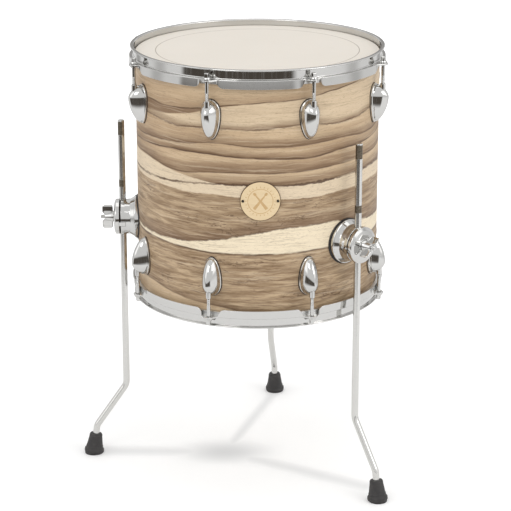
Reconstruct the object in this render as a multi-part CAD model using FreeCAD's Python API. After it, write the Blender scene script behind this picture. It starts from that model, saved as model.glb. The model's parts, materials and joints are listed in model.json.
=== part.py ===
"""Floor tom drum: 14 in by 14 in wood shell, two heads, two flanged hoops, sixteen lugs and three legs.

Millimetres, +Z up. The drum is laid out about its own vertical axis, with the floor at z = 0 and
the badge facing -Y, and the finished pieces are shifted so that the origin is under the middle of
the whole bounding box. An azimuth is counted from the badge, positive towards +X. A piece that
sits on the shell is drawn with +X pointing outwards, then turned to its azimuth.
"""
import FreeCAD, Part
import math
import os

# ---------------------------------------------------------------- driving dimensions
SHELL_R = 177.8                 # outside radius, 14 in diameter
SHELL_WALL = 6.5
SHELL_H = 355.6                 # 14 in deep
MID_Z = 455.3                   # height of the middle of the shell above the floor
TOP_Z = MID_Z + SHELL_H / 2

LUG_COUNT = 8                   # lugs at each head
ROD_R = 2.75
ROD_CIRCLE_R = 191.7
RUN_GAP = 0.06                  # radial clearance of a turning or sliding fit
FACE_GAP = 0.10                 # clearance between a turning face and the face under it

HOOP_TOP = 9.4                  # rim height above the bearing edge
HOOP_WALL_R = 181.2             # outside radius of the upright wall
HOOP_LIP_R = 185.1
HOOP_SKIRT_R = 187.5
HOOP_SHEET = 1.8
EAR_TOP = -5.1                  # top face of the ears, below the bearing edge
SKIRT_BOTTOM = -17.4
EAR_HALF_W = 15.5
EAR_END_R = 6.2

LUG_TOP = -35.1                 # hoop end of the lug outline, below the bearing edge
LUG_HALF_W = 14.5
LUG_UP = 19.0                   # outline above its widest line
LUG_DOWN = 38.0                 # outline below its widest line
LUG_PROUD = 23.0                # height of the casing off the shell
LUG_GASKET = 0.8
LUG_SCREWS = (6.0, -21.0)       # screw heights from the widest line

LEG_R = 5.0
LEG_CIRCLE_R = 200.5
LEG_AZIMUTHS = {"left": -90.0, "right": 44.0, "rear": 172.5}
LEG_SWINGS = {"left": 0.0, "right": -6.0, "rear": -2.0}    # how far each foot points off radial
WING_TURNS = {"left": 0.0, "right": -50.0, "rear": 20.0}    # rest angle of each wing nut
LEG_TOP = 527.5
KNEE_1 = (0.0, 113.4)           # outward offset and height of the upper bend
KNEE_2 = (46.9, 45.1)           # the same for the lower bend
FOOT_POINT = (52.8, 0.0)
BEND_R = (24.0, 18.0)
GRIP_BANDS = ((2.0, 22.0), (90.0, 101.0))    # etched bands, measured down from the leg's top
GRIP_DEPTH = 0.12

BRACKET_Z = 381.0
BRACKET_FLANGE_R = 32.2
BRACKET_BODY_R = 26.0
BRACKET_FACE = 203.2            # outer face of the base, from the drum's axis
CAP_INNER = 205.2
CAP_OUTER = 213.6
BOLT_R = 3.0
BOLT_END = 233.5
WING_OUTER = 231.3
WING_SPAN = 18.0

TONGUE = (-8.0, -2.0)           # bottom and top of the cap's tongues, from the bracket's centre

BADGE_R = 28.5
BADGE_T = 2.2
PIN_OFFSET = 24.6               # sideways distance of each badge pin from the badge's middle
PIN_HEAD_R = 2.0
VENT_AZIMUTH = -135.0
VENT_R = 5.0                    # clear hole through the grommet

WASHER_T = 1.4
COLLAR_T = 2.0                  # round collar under the rod's square head
KEY_SIZE = 6.0                  # across the flats of the square head
KEY_HEIGHT = 6.2
ROD_LENGTH = 67.2               # from under the collar to the tip
FILM_T = 0.3

INNER_R = SHELL_R - SHELL_WALL
LUG_Z = TOP_Z + LUG_TOP - LUG_UP                # height of the widest line of an upper lug
EAR_UNDER = TOP_Z + EAR_TOP - HOOP_SHEET
WASHER_TOP = TOP_Z + EAR_TOP + WASHER_T

V = FreeCAD.Vector
UP = V(0, 0, 1)
OUT = V(1, 0, 0)


# ---------------------------------------------------------------- helpers
def tube(radius, height, base=V(0, 0, 0), axis=UP):
    return Part.makeCylinder(radius, height, base, axis)


def radial_rod(radius, inner, outer, y=0.0, z=0.0):
    """Cylinder pointing outwards from the shell, between two distances from the drum's axis."""
    return tube(radius, outer - inner, V(inner, y, z), OUT)


def block(x_range, y_range, z_range):
    size = [high - low for low, high in (x_range, y_range, z_range)]
    return Part.makeBox(*size, V(x_range[0], y_range[0], z_range[0]))


def ring(inner, outer, low, high):
    return tube(outer, high - low, V(0, 0, low)).cut(tube(inner, high - low, V(0, 0, low)))


def plate(corners):
    """Flat face inside a closed outline of straight lines."""
    return Part.Face(Part.makePolygon(corners + [corners[0]]))


def turned(corners, axis=UP):
    """Solid of revolution of a closed outline of straight lines, about an axis through the origin."""
    return plate(corners).revolve(V(0, 0, 0), axis, 360)


def at_azimuth(shape, azimuth):
    """Turn a piece drawn with +X outwards to its place round the drum."""
    placed = shape.copy()
    placed.rotate(V(0, 0, 0), UP, azimuth - 90)
    return placed


def flipped(shape):
    """The same piece for the lower head, turned over about the middle of the shell.

    The turn is half way round an outward line, so the piece stays at its own azimuth."""
    placed = shape.copy()
    placed.rotate(V(0, 0, MID_Z), OUT, 180)
    return placed


def lug_azimuths():
    step = 360 / LUG_COUNT
    return [step * (index + 0.5) for index in range(LUG_COUNT)]


# ---------------------------------------------------------------- shell, badge and vent
def make_shell():
    """Plain tube with a bearing edge at each end: rounded over outside, cut at 45 degrees inside."""
    edge = 2.4                  # width of the outer round-over
    profile = [V(SHELL_R, 0, TOP_Z - edge), V(SHELL_R - 0.6, 0, TOP_Z - 0.9),
               V(SHELL_R - edge, 0, TOP_Z), V(INNER_R, 0, TOP_Z - SHELL_WALL + edge)]
    lower = [V(p.x, 0, 2 * MID_Z - p.z) for p in reversed(profile)]
    through = (INNER_R - 6, SHELL_R + 2)
    holes = [at_azimuth(radial_rod(2.5, *through, z=z), azimuth)
             for azimuth in lug_azimuths() for z in lug_screw_heights()]
    holes += [at_azimuth(radial_rod(2.7, *through, y=y, z=BRACKET_Z + z), azimuth)
              for azimuth in LEG_AZIMUTHS.values() for y, z in bracket_screw_places()]
    holes += [at_azimuth(radial_rod(0.9, INNER_R + 2, SHELL_R + 2, y=y, z=MID_Z), 0)
              for y in badge_pin_places()]
    holes.append(at_azimuth(radial_rod(VENT_R + 1.5, *through, z=MID_Z), VENT_AZIMUTH))
    return turned(profile + lower).cut(Part.makeCompound(holes))


def on_shell(outline_solid, inner, outer):
    """The part of a radial solid that lies between two distances from the shell's axis."""
    return outline_solid.common(ring(inner, outer, 0, 2 * MID_Z))


def badge_pin_places():
    return (-PIN_OFFSET, PIN_OFFSET)


def make_badge():
    disc = on_shell(radial_rod(BADGE_R, 160, 190, z=MID_Z), SHELL_R, SHELL_R + BADGE_T)
    for y in badge_pin_places():
        disc = disc.cut(radial_rod(0.9, 160, 190, y=y, z=MID_Z))
    return at_azimuth(disc, 0)


def make_badge_pins():
    """Round-headed pins that rest on the badge's curved face where it stands highest under them."""
    nearest = PIN_OFFSET - PIN_HEAD_R
    face = math.sqrt((SHELL_R + BADGE_T) ** 2 - nearest ** 2) + 0.03
    pins = []
    for y in badge_pin_places():
        shank = radial_rod(0.85, INNER_R + 2.7, face + 0.2, y=y, z=MID_Z)
        head = Part.makeSphere(PIN_HEAD_R, V(face, y, MID_Z), OUT, 0, 90, 360)
        pins.append(at_azimuth(shank.fuse(head), 0))
    return Part.makeCompound(pins)


def make_vent_grommet():
    """Metal-lined air hole: a sleeve through the wall with a flange inside and outside."""
    sleeve = radial_rod(VENT_R + 1.4, INNER_R - 1.2, SHELL_R + 0.2, z=MID_Z)
    outside = on_shell(radial_rod(VENT_R + 4.5, 160, 190, z=MID_Z), SHELL_R, SHELL_R + 1.1)
    inside = radial_rod(VENT_R + 4.0, INNER_R - 1.8, INNER_R - 0.4, z=MID_Z)
    grommet = sleeve.fuse([outside, inside]).cut(radial_rod(VENT_R, 160, 190, z=MID_Z))
    return at_azimuth(grommet, VENT_AZIMUTH)


# ---------------------------------------------------------------- heads and hoops
def make_head():
    """Film stretched over the bearing edge and down into the flesh ring."""
    drop = TOP_Z - 12.2
    face = TOP_Z + FILM_T
    outer = [V(0, 0, face), V(SHELL_R - 2.2, 0, face), V(SHELL_R + 0.15, 0, TOP_Z - 1.0),
             V(SHELL_R + 0.5, 0, TOP_Z - 2.6), V(SHELL_R + 0.5, 0, drop)]
    inner = [V(SHELL_R + 0.2, 0, drop), V(SHELL_R + 0.2, 0, TOP_Z - 2.4),
             V(SHELL_R - 0.35, 0, TOP_Z - 0.75), V(SHELL_R - 2.3, 0, TOP_Z), V(0, 0, TOP_Z)]
    return turned(outer + inner)


def make_flesh_ring():
    """Square metal ring that grips the film's edge and takes the hoop's push."""
    return ring(SHELL_R + 0.55, SHELL_R + 5.4, TOP_Z - 12.6, EAR_UNDER)


def hoop_profile():
    """Section of the hoop: rolled lip, upright wall, flange over the flesh ring, and skirt."""
    inner = HOOP_WALL_R - HOOP_SHEET
    rim = TOP_Z + HOOP_TOP
    flange = TOP_Z + EAR_TOP
    under = EAR_UNDER
    foot = TOP_Z + SKIRT_BOTTOM
    skirt_in = HOOP_SKIRT_R - HOOP_SHEET
    return [V(inner, 0, under), V(inner, 0, rim - 1.6), V(inner + 0.5, 0, rim - 0.5),
            V(inner + 1.7, 0, rim), V(HOOP_LIP_R - 0.9, 0, rim), V(HOOP_LIP_R, 0, rim - 0.8),
            V(HOOP_LIP_R, 0, rim - 1.5), V(HOOP_LIP_R - 0.9, 0, rim - 2.2),
            V(HOOP_WALL_R + 0.9, 0, rim - 2.2), V(HOOP_WALL_R, 0, rim - 3.1),
            V(HOOP_WALL_R, 0, flange + 1.0), V(HOOP_WALL_R + 1.0, 0, flange),
            V(HOOP_SKIRT_R - 1.2, 0, flange), V(HOOP_SKIRT_R, 0, flange - 1.2),
            V(HOOP_SKIRT_R, 0, foot + 0.5), V(HOOP_SKIRT_R - 0.5, 0, foot),
            V(skirt_in + 0.4, 0, foot), V(skirt_in, 0, foot + 0.4), V(skirt_in, 0, under)]


def make_ear():
    """Flat ear for one tension rod, drawn with +X outwards."""
    under = EAR_UNDER
    root = HOOP_SKIRT_R - 1.6
    corners = [V(root, -EAR_HALF_W, under), V(root + 3.0, -EAR_HALF_W + 3.5, under),
               V(ROD_CIRCLE_R + 1.0, -EAR_END_R, under), V(ROD_CIRCLE_R + 1.0, EAR_END_R, under),
               V(root + 3.0, EAR_HALF_W - 3.5, under), V(root, EAR_HALF_W, under)]
    end = tube(EAR_END_R, HOOP_SHEET, V(ROD_CIRCLE_R + 1.0, 0, under))
    return plate(corners).extrude(V(0, 0, HOOP_SHEET)).fuse(end)


def make_skirt_notch():
    """Arch cut out of the skirt under each ear, clear of the lug and rod."""
    foot = TOP_Z + SKIRT_BOTTOM - 1
    inside = SHELL_R + 6
    half = [(EAR_HALF_W + 3.5, foot), (EAR_HALF_W, foot + 5.0),
            (EAR_HALF_W - 1.5, EAR_UNDER - 2.6), (EAR_HALF_W - 5.0, EAR_UNDER - 1.4)]
    corners = [V(inside, -y, z) for y, z in half] + [V(inside, y, z) for y, z in reversed(half)]
    return plate(corners).extrude(V(12, 0, 0))


def make_hoop():
    hoop = turned(hoop_profile())
    hoop = hoop.cut(Part.makeCompound([at_azimuth(make_skirt_notch(), a) for a in lug_azimuths()]))
    hoop = hoop.fuse([at_azimuth(make_ear(), a) for a in lug_azimuths()])
    hole = tube(ROD_R + 0.65, 20, V(ROD_CIRCLE_R, 0, TOP_Z - 20))
    return hoop.cut(Part.makeCompound([at_azimuth(hole, a) for a in lug_azimuths()]))


# ---------------------------------------------------------------- tension rods
def make_tension_rod():
    """Rod with a tapered tip, a round collar and a square head for the drum key."""
    collar_z = WASHER_TOP + FACE_GAP
    head_z = collar_z + COLLAR_T
    taper = 1.2
    half = KEY_SIZE / 2
    shaft = tube(ROD_R, ROD_LENGTH - taper, V(ROD_CIRCLE_R, 0, collar_z - ROD_LENGTH + taper))
    collar = Part.makeCone(5.2, 4.4, COLLAR_T, V(ROD_CIRCLE_R, 0, collar_z), UP)
    head = block((ROD_CIRCLE_R - half, ROD_CIRCLE_R + half), (-half, half),
                 (head_z - 0.1, head_z + KEY_HEIGHT))
    tip = Part.makeCone(ROD_R - 0.9, ROD_R, taper, V(ROD_CIRCLE_R, 0, collar_z - ROD_LENGTH), UP)
    return shaft.fuse([collar, head, tip])


def make_rod_washer():
    return ring(ROD_R + RUN_GAP + 0.05, 6.0, WASHER_TOP - WASHER_T, WASHER_TOP).translated(
        V(ROD_CIRCLE_R, 0, 0))


# ---------------------------------------------------------------- lugs
def lug_screw_heights():
    """Heights of every lug screw round the shell, upper lugs then lower ones."""
    upper = [LUG_Z + step for step in LUG_SCREWS]
    return upper + [2 * MID_Z - z for z in upper]


def two_halves(solid, thickness, half_w, up, down):
    """Stretch a round solid of unit radius, centred on +X, by its own amount above and below."""
    halves = []
    for reach, low, high in ((up, 0, 2), (down, -2, 0)):
        matrix = FreeCAD.Matrix()
        matrix.scale(thickness, half_w, reach)
        halves.append(solid.common(block((-2, 400), (-2, 2), (low, high))).transformGeometry(matrix))
    return halves[0].fuse(halves[1])


def egg(half_w, up, down, inner, outer):
    """Prism of an egg outline, blunt end up, standing out from the shell."""
    whole = two_halves(tube(1.0, outer - inner, V(0, 0, 0), OUT), 1, half_w, up, down)
    return whole.translated(V(inner, 0, LUG_Z))


def bulb(proud, half_w, up, down):
    """Stretched ball centred on the shell: blunt towards the hoop, long the other way."""
    whole = two_halves(Part.makeSphere(1.0), proud, half_w, up, down)
    return whole.translated(V(SHELL_R, 0, LUG_Z))


def make_lug():
    """Cast casing: a shell-hugging base rim and a hollow bulb, with a web behind each screw."""
    wall = 2.6
    webs = [block((170, SHELL_R + 8.5), (-12, 12), (LUG_Z + step - 3.8, LUG_Z + step + 3.8))
            for step in LUG_SCREWS]
    hollow = bulb(LUG_PROUD - wall, 11.0 - wall, 16.0 - wall, 34.5 - wall)
    hollow = hollow.cut(Part.makeCompound(webs))
    casing = egg(LUG_HALF_W, LUG_UP, LUG_DOWN, 165, SHELL_R + 3.6)
    casing = casing.fuse(bulb(LUG_PROUD, 11.0, 16.0, 34.5)).cut(hollow)
    casing = casing.cut(tube(SHELL_R + LUG_GASKET, 2 * MID_Z))
    casing = casing.cut(tube(4.1, 40, V(ROD_CIRCLE_R, 0, LUG_Z + 4)))
    bores = [radial_rod(2.1, 170, SHELL_R + 7.4, z=LUG_Z + step) for step in LUG_SCREWS]
    return casing.cut(Part.makeCompound(bores))


def make_lug_gasket():
    show = 0.7                  # how far the gasket shows round the lug
    pad = egg(LUG_HALF_W + show, LUG_UP + show, LUG_DOWN + show, 165, 200)
    pad = on_shell(pad, SHELL_R, SHELL_R + LUG_GASKET)
    holes = [radial_rod(2.5, 165, 200, z=LUG_Z + step) for step in LUG_SCREWS]
    return pad.cut(Part.makeCompound(holes))


def make_swivel_nut():
    """Threaded barrel that hangs in the lug's shoulder, with a flange inside the casing."""
    low = LUG_Z - 10.0
    barrel = tube(4.0, 29.5, V(ROD_CIRCLE_R, 0, low))
    flange = tube(4.9, 3.5, V(ROD_CIRCLE_R, 0, LUG_Z + 0.5))
    return barrel.fuse(flange).cut(tube(ROD_R + RUN_GAP, 40, V(ROD_CIRCLE_R, 0, low - 1)))


def make_lug_screws():
    """Machine screws with washers, driven from inside the shell into the lug's posts."""
    shank = radial_rod(2.0, INNER_R - 3.0, SHELL_R + 7.0)
    washer = radial_rod(6.5, INNER_R - 1.4, INNER_R - 0.1)
    head = radial_rod(4.0, INNER_R - 4.6, INNER_R - 1.4)
    slot = block((INNER_R - 5, INNER_R - 3.4), (-4, 4), (-0.6, 0.6))
    screw = shank.fuse([washer, head]).cut(slot)
    return [at_azimuth(screw.translated(V(0, 0, z)), azimuth)
            for azimuth in lug_azimuths() for z in lug_screw_heights()]


# ---------------------------------------------------------------- leg brackets
def bracket_screw_places():
    """Sideways and upward offsets of a bracket's screws from its centre."""
    return ((0.0, 21.0), (0.0, -21.0))


def make_bracket_gasket():
    disc = on_shell(radial_rod(BRACKET_FLANGE_R + 1.2, 160, 200, z=BRACKET_Z),
                    SHELL_R, SHELL_R + 1.6)
    holes = [radial_rod(2.7, 160, 200, y=y, z=BRACKET_Z + z) for y, z in bracket_screw_places()]
    return disc.cut(Part.makeCompound(holes))


def make_bracket_base():
    """Cast housing: round flange on the shell, a taper, and a drum with the leg's channel."""
    z = BRACKET_Z
    edge = SHELL_R + 5.2
    taper_end = SHELL_R + 12.5
    base = radial_rod(BRACKET_FLANGE_R, 165, edge, z=z)
    base = base.fuse([Part.makeCone(BRACKET_FLANGE_R - 0.8, BRACKET_BODY_R, taper_end - edge,
                                    V(edge, 0, z), OUT),
                      radial_rod(BRACKET_BODY_R, taper_end, BRACKET_FACE, z=z)])
    base = base.cut(tube(SHELL_R + 1.6, 2 * MID_Z))
    base = base.cut(radial_rod(16.0, 170, SHELL_R + 8.0, z=z))
    eye_room = block((SHELL_R + 8.0, BRACKET_FACE + 1), (-10.6, 10.6), (z - 5.2, z + 5.2))
    channel = tube(LEG_R + 0.35, 80, V(LEG_CIRCLE_R, 0, z - 40))
    base = base.cut(eye_room).cut(channel)
    for side in (-1, 1):
        y_range = sorted((side * 18.0, side * 30.0))
        slot = block((195.5, BRACKET_FACE + 1), y_range, (z + TONGUE[0] - 0.3, z + TONGUE[1] + 0.3))
        base = base.cut(slot)
    bores = [radial_rod(2.2, 170, SHELL_R + 12, y=y, z=z + h) for y, h in bracket_screw_places()]
    return base.cut(Part.makeCompound(bores))


def make_bracket_cap():
    """Outer jaw: a domed disc with a groove for the leg and two tongues that key it."""
    z = BRACKET_Z
    r = BRACKET_BODY_R + 0.5
    dome = [V(CAP_INNER, 0, 0), V(CAP_INNER, r - 0.8, 0), V(CAP_INNER + 0.8, r, 0),
            V(CAP_OUTER - 3.4, r, 0), V(CAP_OUTER - 1.6, r - 1.0, 0), V(CAP_OUTER - 0.4, r - 4.0, 0),
            V(CAP_OUTER, r - 11.0, 0), V(CAP_OUTER, 0, 0)]
    cap = turned(dome, axis=OUT).translated(V(0, 0, z))
    rim = radial_rod(BRACKET_BODY_R - 0.3, 190, 220, z=z)
    for side in (-1, 1):
        y_range = sorted((side * 18.4, side * 26.4))
        tongue = block((196.0, CAP_INNER + 1), y_range, (z + TONGUE[0], z + TONGUE[1]))
        cap = cap.fuse(tongue.common(rim))
    channel = tube(LEG_R + 0.35, 80, V(LEG_CIRCLE_R, 0, z - 40))
    bolt_hole = radial_rod(BOLT_R + 0.2, 190, 230, z=z)
    return cap.cut(channel).cut(bolt_hole)


def make_eye_bolt():
    """Eye that the leg slides through, with a threaded shank out through the cap."""
    z = BRACKET_Z
    eye = tube(9.8, 9.0, V(LEG_CIRCLE_R, 0, z - 4.5))
    eye = eye.common(block((180, CAP_INNER - 0.2), (-10.2, 10.2), (z - 5, z + 5)))
    shank = radial_rod(BOLT_R, LEG_CIRCLE_R, BOLT_END - 0.6, z=z)
    tip = Part.makeCone(BOLT_R, BOLT_R - 0.6, 0.6, V(BOLT_END - 0.6, 0, z), OUT)
    return eye.fuse([shank, tip]).cut(tube(LEG_R + RUN_GAP, 30, V(LEG_CIRCLE_R, 0, z - 15)))


def make_wing_nut(turn):
    """Tapered hub with two flat, slightly flared paddles."""
    foot = CAP_OUTER + FACE_GAP
    hub = [V(foot, 0, 0), V(foot, 7.8, 0), V(foot + 2.0, 8.2, 0), V(foot + 4.0, 7.4, 0),
           V(WING_OUTER - 4.5, 5.6, 0), V(WING_OUTER - 4.0, 5.0, 0), V(WING_OUTER - 4.0, 0, 0)]
    nut = turned(hub, axis=OUT)
    paddle = [V(foot + 2.6, 0, 3.0), V(foot + 4.4, 0, WING_SPAN - 2.5), V(foot + 6.4, 0, WING_SPAN),
              V(WING_OUTER - 1.5, 0, WING_SPAN), V(WING_OUTER, 0, WING_SPAN - 1.5),
              V(WING_OUTER, 0, 7.2), V(WING_OUTER - 4.5, 0, 3.0)]
    for side in (1, -1):
        wing = plate(paddle).extrude(V(0, 3.2, 0)).translated(V(0, -1.6, 0))
        if side < 0:
            wing.rotate(V(0, 0, 0), OUT, 180)
        nut = nut.fuse(wing)
    nut = nut.cut(radial_rod(BOLT_R + RUN_GAP, foot - 1, WING_OUTER + 1))
    nut.rotate(V(0, 0, 0), OUT, turn)
    return nut.translated(V(0, 0, BRACKET_Z))


def make_bracket_screws():
    shank = radial_rod(2.1, INNER_R - 3.2, SHELL_R + 10.0)
    washer = radial_rod(7.0, INNER_R - 1.7, INNER_R - 0.2)
    head = radial_rod(4.4, INNER_R - 5.2, INNER_R - 1.7)
    screw = shank.fuse([washer, head])
    return [at_azimuth(screw.translated(V(0, y, BRACKET_Z + z)), azimuth)
            for azimuth in LEG_AZIMUTHS.values() for y, z in bracket_screw_places()]


# ---------------------------------------------------------------- legs and feet
def bent_path(points, radii):
    """Wire of straight runs joined by tangent arcs."""
    edges = []
    start = points[0]
    for index, radius in enumerate(radii, 1):
        corner = points[index]
        back = (points[index - 1] - corner).normalize()
        ahead = (points[index + 1] - corner).normalize()
        half = back.getAngle(ahead) / 2
        cut = radius / math.tan(half)
        first, last = corner + back * cut, corner + ahead * cut
        middle = (back + ahead).normalize()
        centre = corner + middle * (radius / math.sin(half))
        edges.append(Part.LineSegment(start, first).toShape())
        edges.append(Part.Arc(first, centre - middle * radius, last).toShape())
        start = last
    edges.append(Part.LineSegment(start, points[-1]).toShape())
    return Part.Wire(edges)


def foot_axis():
    """Foot point on the floor and the unit vector up the last run of the leg."""
    ground = V(LEG_CIRCLE_R + FOOT_POINT[0], 0, FOOT_POINT[1])
    knee = V(LEG_CIRCLE_R + KNEE_2[0], 0, KNEE_2[1])
    return ground, (knee - ground).normalize()


def make_leg():
    ground, rise = foot_axis()
    points = [V(LEG_CIRCLE_R, 0, LEG_TOP), V(LEG_CIRCLE_R + KNEE_1[0], 0, KNEE_1[1]),
              V(LEG_CIRCLE_R + KNEE_2[0], 0, KNEE_2[1]), ground + rise * 8.0]
    profile = Part.Wire(Part.makeCircle(LEG_R, points[0], UP))
    leg = bent_path(points, BEND_R).makePipeShell([profile], True, False)
    tip = turned([V(0, 0, 0), V(LEG_R, 0, 0), V(LEG_R - 0.9, 0, 1.2), V(0, 0, 1.2)])
    leg = leg.fuse(tip.translated(points[0]))
    for start, end in GRIP_BANDS:
        band = ring(LEG_R - GRIP_DEPTH, LEG_R + 2, LEG_TOP - end, LEG_TOP - start)
        leg = leg.cut(band.translated(V(LEG_CIRCLE_R, 0, 0)))
    return leg


def make_rubber_foot():
    """Tapered rubber cup on the leg's end, flat where it meets the floor."""
    ground, rise = foot_axis()
    outline = [V(0, 0, -3.0), V(13.6, 0, -3.0), V(14.3, 0, 1.2), V(15.0, 0, 3.0), V(15.0, 0, 6.5),
               V(13.9, 0, 8.6), V(9.6, 0, 30.0), V(8.6, 0, 32.0), V(LEG_R, 0, 32.0),
               V(LEG_R, 0, 8.0), V(0, 0, 8.0)]
    foot = turned(outline)
    lean = math.degrees(rise.getAngle(UP))
    foot.rotate(V(0, 0, 0), V(0, 1, 0), -lean)
    foot.translate(ground)
    return foot.cut(block((100, 400), (-50, 50), (-20, 0)))


def swung(shape, leg_name):
    """Turn a leg or foot about the leg's own axis, then to its azimuth."""
    placed = shape.copy()
    placed.rotate(V(LEG_CIRCLE_R, 0, 0), UP, LEG_SWINGS[leg_name])
    return at_azimuth(placed, LEG_AZIMUTHS[leg_name])


# ---------------------------------------------------------------- assembly
def round_the_drum(shape):
    return [at_azimuth(shape, azimuth) for azimuth in lug_azimuths()]


def make_nodes():
    nodes = {
        "shell": make_shell(),
        "badge": make_badge(),
        "badge_pins": make_badge_pins(),
        "vent_grommet": make_vent_grommet(),
    }
    head, flesh, hoop = make_head(), make_flesh_ring(), make_hoop()
    nodes["top_head"], nodes["bottom_head"] = head, flipped(head)
    nodes["top_flesh_ring"], nodes["bottom_flesh_ring"] = flesh, flipped(flesh)
    nodes["top_hoop"], nodes["bottom_hoop"] = hoop, flipped(hoop)

    rod, lug = make_tension_rod(), make_lug()
    for end, turn in (("top", lambda shape: shape), ("bottom", flipped)):
        for number, azimuth in enumerate(lug_azimuths(), 1):
            nodes[f"tension_rod_{end}_{number}"] = at_azimuth(turn(rod), azimuth)
            nodes[f"lug_{end}_{number}"] = at_azimuth(turn(lug), azimuth)

    groups = {"rod_washers": make_rod_washer(), "lug_gaskets": make_lug_gasket(),
              "swivel_nuts": make_swivel_nut()}
    for name, shape in groups.items():
        nodes[name] = Part.makeCompound(round_the_drum(shape) + round_the_drum(flipped(shape)))
    nodes["lug_screws"] = Part.makeCompound(make_lug_screws())
    nodes["bracket_screws"] = Part.makeCompound(make_bracket_screws())

    groups = {"bracket_gaskets": make_bracket_gasket(), "bracket_bases": make_bracket_base(),
              "bracket_caps": make_bracket_cap(), "eye_bolts": make_eye_bolt()}
    for name, shape in groups.items():
        nodes[name] = Part.makeCompound([at_azimuth(shape, a) for a in LEG_AZIMUTHS.values()])

    leg, foot = make_leg(), make_rubber_foot()
    for name, azimuth in LEG_AZIMUTHS.items():
        nodes[f"wing_nut_{name}"] = at_azimuth(make_wing_nut(WING_TURNS[name]), azimuth)
        nodes[f"leg_{name}"] = swung(leg, name)
        nodes[f"rubber_foot_{name}"] = swung(foot, name)
    return nodes


def middle_of(nodes):
    """Shift that puts the origin under the middle of the footprint, which these pieces bound."""
    widest = ("rubber_foot", "top_hoop", "lug")
    shapes = [shape for name, shape in nodes.items() if name.startswith(widest)]
    box = Part.makeCompound(shapes).optimalBoundingBox(False)
    return V(-(box.XMin + box.XMax) / 2, -(box.YMin + box.YMax) / 2, 0)


def main():
    os.makedirs("parts", exist_ok=True)
    nodes = make_nodes()
    shift = middle_of(nodes)
    print("drum axis at", round(shift.x, 4), round(shift.y, 4))
    for name, shape in nodes.items():
        shape.translated(shift).exportStep(f"parts/{name}.step")


main()
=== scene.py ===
"""Looks of a floor tom drum: veneered shell, chrome hoops, lugs, brackets and legs.

Shapes are worked out in millimetres and turned into metres when their mesh is made. A piece that
sits on the shell is drawn with +X pointing outwards from the drum's axis and z counted from the
floor, then turned to its azimuth, which is counted from the badge, positive towards +X. A lower
piece is the upper one turned over about the middle of the shell.
"""
import json
import math

import bmesh
import bpy
from mathutils import Matrix, Vector


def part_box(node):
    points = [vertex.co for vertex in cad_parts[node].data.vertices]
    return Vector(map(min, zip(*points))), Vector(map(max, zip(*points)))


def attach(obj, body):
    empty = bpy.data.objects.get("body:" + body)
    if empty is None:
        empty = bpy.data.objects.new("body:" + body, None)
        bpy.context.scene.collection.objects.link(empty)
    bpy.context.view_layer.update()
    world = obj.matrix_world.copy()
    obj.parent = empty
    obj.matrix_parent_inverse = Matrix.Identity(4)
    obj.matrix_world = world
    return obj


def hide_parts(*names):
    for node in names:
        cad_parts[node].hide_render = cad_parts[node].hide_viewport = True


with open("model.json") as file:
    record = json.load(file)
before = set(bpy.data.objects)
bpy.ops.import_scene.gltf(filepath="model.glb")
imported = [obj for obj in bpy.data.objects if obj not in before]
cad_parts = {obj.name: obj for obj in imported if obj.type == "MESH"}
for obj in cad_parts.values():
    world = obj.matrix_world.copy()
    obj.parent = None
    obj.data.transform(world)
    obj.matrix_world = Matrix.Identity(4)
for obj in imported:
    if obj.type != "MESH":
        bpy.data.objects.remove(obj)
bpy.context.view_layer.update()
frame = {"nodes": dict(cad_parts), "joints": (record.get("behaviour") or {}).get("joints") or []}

# ---- places taken from the frame
MM = 0.001
JOINTS = {joint["name"]: joint for joint in frame["joints"]}
LUG_COUNT = 8
LEG_NAMES = ("left", "right", "rear")


def joint_point(name):
    return Vector(JOINTS[name]["pos_m"]) / MM


def outward_azimuth(name):
    """Azimuth of a joint whose axis points straight out from the shell."""
    x, y, _ = JOINTS[name]["axis"]
    return math.degrees(math.atan2(x, -y))


def box_mm(node):
    low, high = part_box(node)
    return low / MM, high / MM


ROD_POINTS = [joint_point(f"top_rod_{number}_turn") for number in range(1, LUG_COUNT + 1)]
DRUM_AXIS = sum(ROD_POINTS, Vector()) / LUG_COUNT
ROD_CIRCLE_R = (ROD_POINTS[0] - DRUM_AXIS).xy.length
BOTTOM_Z, TOP_Z = (corner.z for corner in box_mm("shell"))
MID_Z = (BOTTOM_Z + TOP_Z) / 2
LEG_TOP = box_mm("leg_left")[1].z
BRACKET_Z = joint_point("left_wing_nut_turn").z
LEG_AZIMUTHS = {name: outward_azimuth(f"{name}_wing_nut_turn") for name in LEG_NAMES}
LUG_AZIMUTHS = [360 / LUG_COUNT * (number + 0.5) for number in range(LUG_COUNT)]

# ---- sizes shared by several pieces
SHELL_R = 177.8
SHELL_WALL = 6.5
ROD_R = 2.75
THREAD_PITCH = 1.06
HOOP_SKIRT_R = 187.5
HOOP_SHEET = 1.8
EAR_TOP = -5.1                  # below the bearing edge, like the next three
EAR_UNDER = EAR_TOP - HOOP_SHEET
SKIRT_BOTTOM = -17.4
LUG_TOP = -35.1
LUG_HALF_W, LUG_UP, LUG_DOWN = 14.5, 19.0, 38.0
LUG_Z = TOP_Z + LUG_TOP - LUG_UP
LUG_GASKET = 0.8
WASHER_T = 1.4
WASHER_TOP = TOP_Z + EAR_TOP + WASHER_T
HEAD_FILM_T = 0.3
CONTROL_RING_R = 148.0
LEG_R = 5.0
LEG_CIRCLE_R = 200.5
LEG_SWINGS = {"left": 0.0, "right": -6.0, "rear": -2.0}
WING_TURNS = {"left": 0.0, "right": -50.0, "rear": 20.0}
BRACKET_FACE = 203.2
BRACKET_BODY_R = 26.0
CAP_INNER, CAP_OUTER = 205.2, 213.6
WING_OUTER = 231.3
PADDLE_LENGTH, PADDLE_TIP, PADDLE_HALF_T = 14.0, 4.0, 1.6     # straight part, round tip
BOLT_R, BOLT_END = 3.0, 233.5
BADGE_R, BADGE_T = 28.5, 2.2
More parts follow.
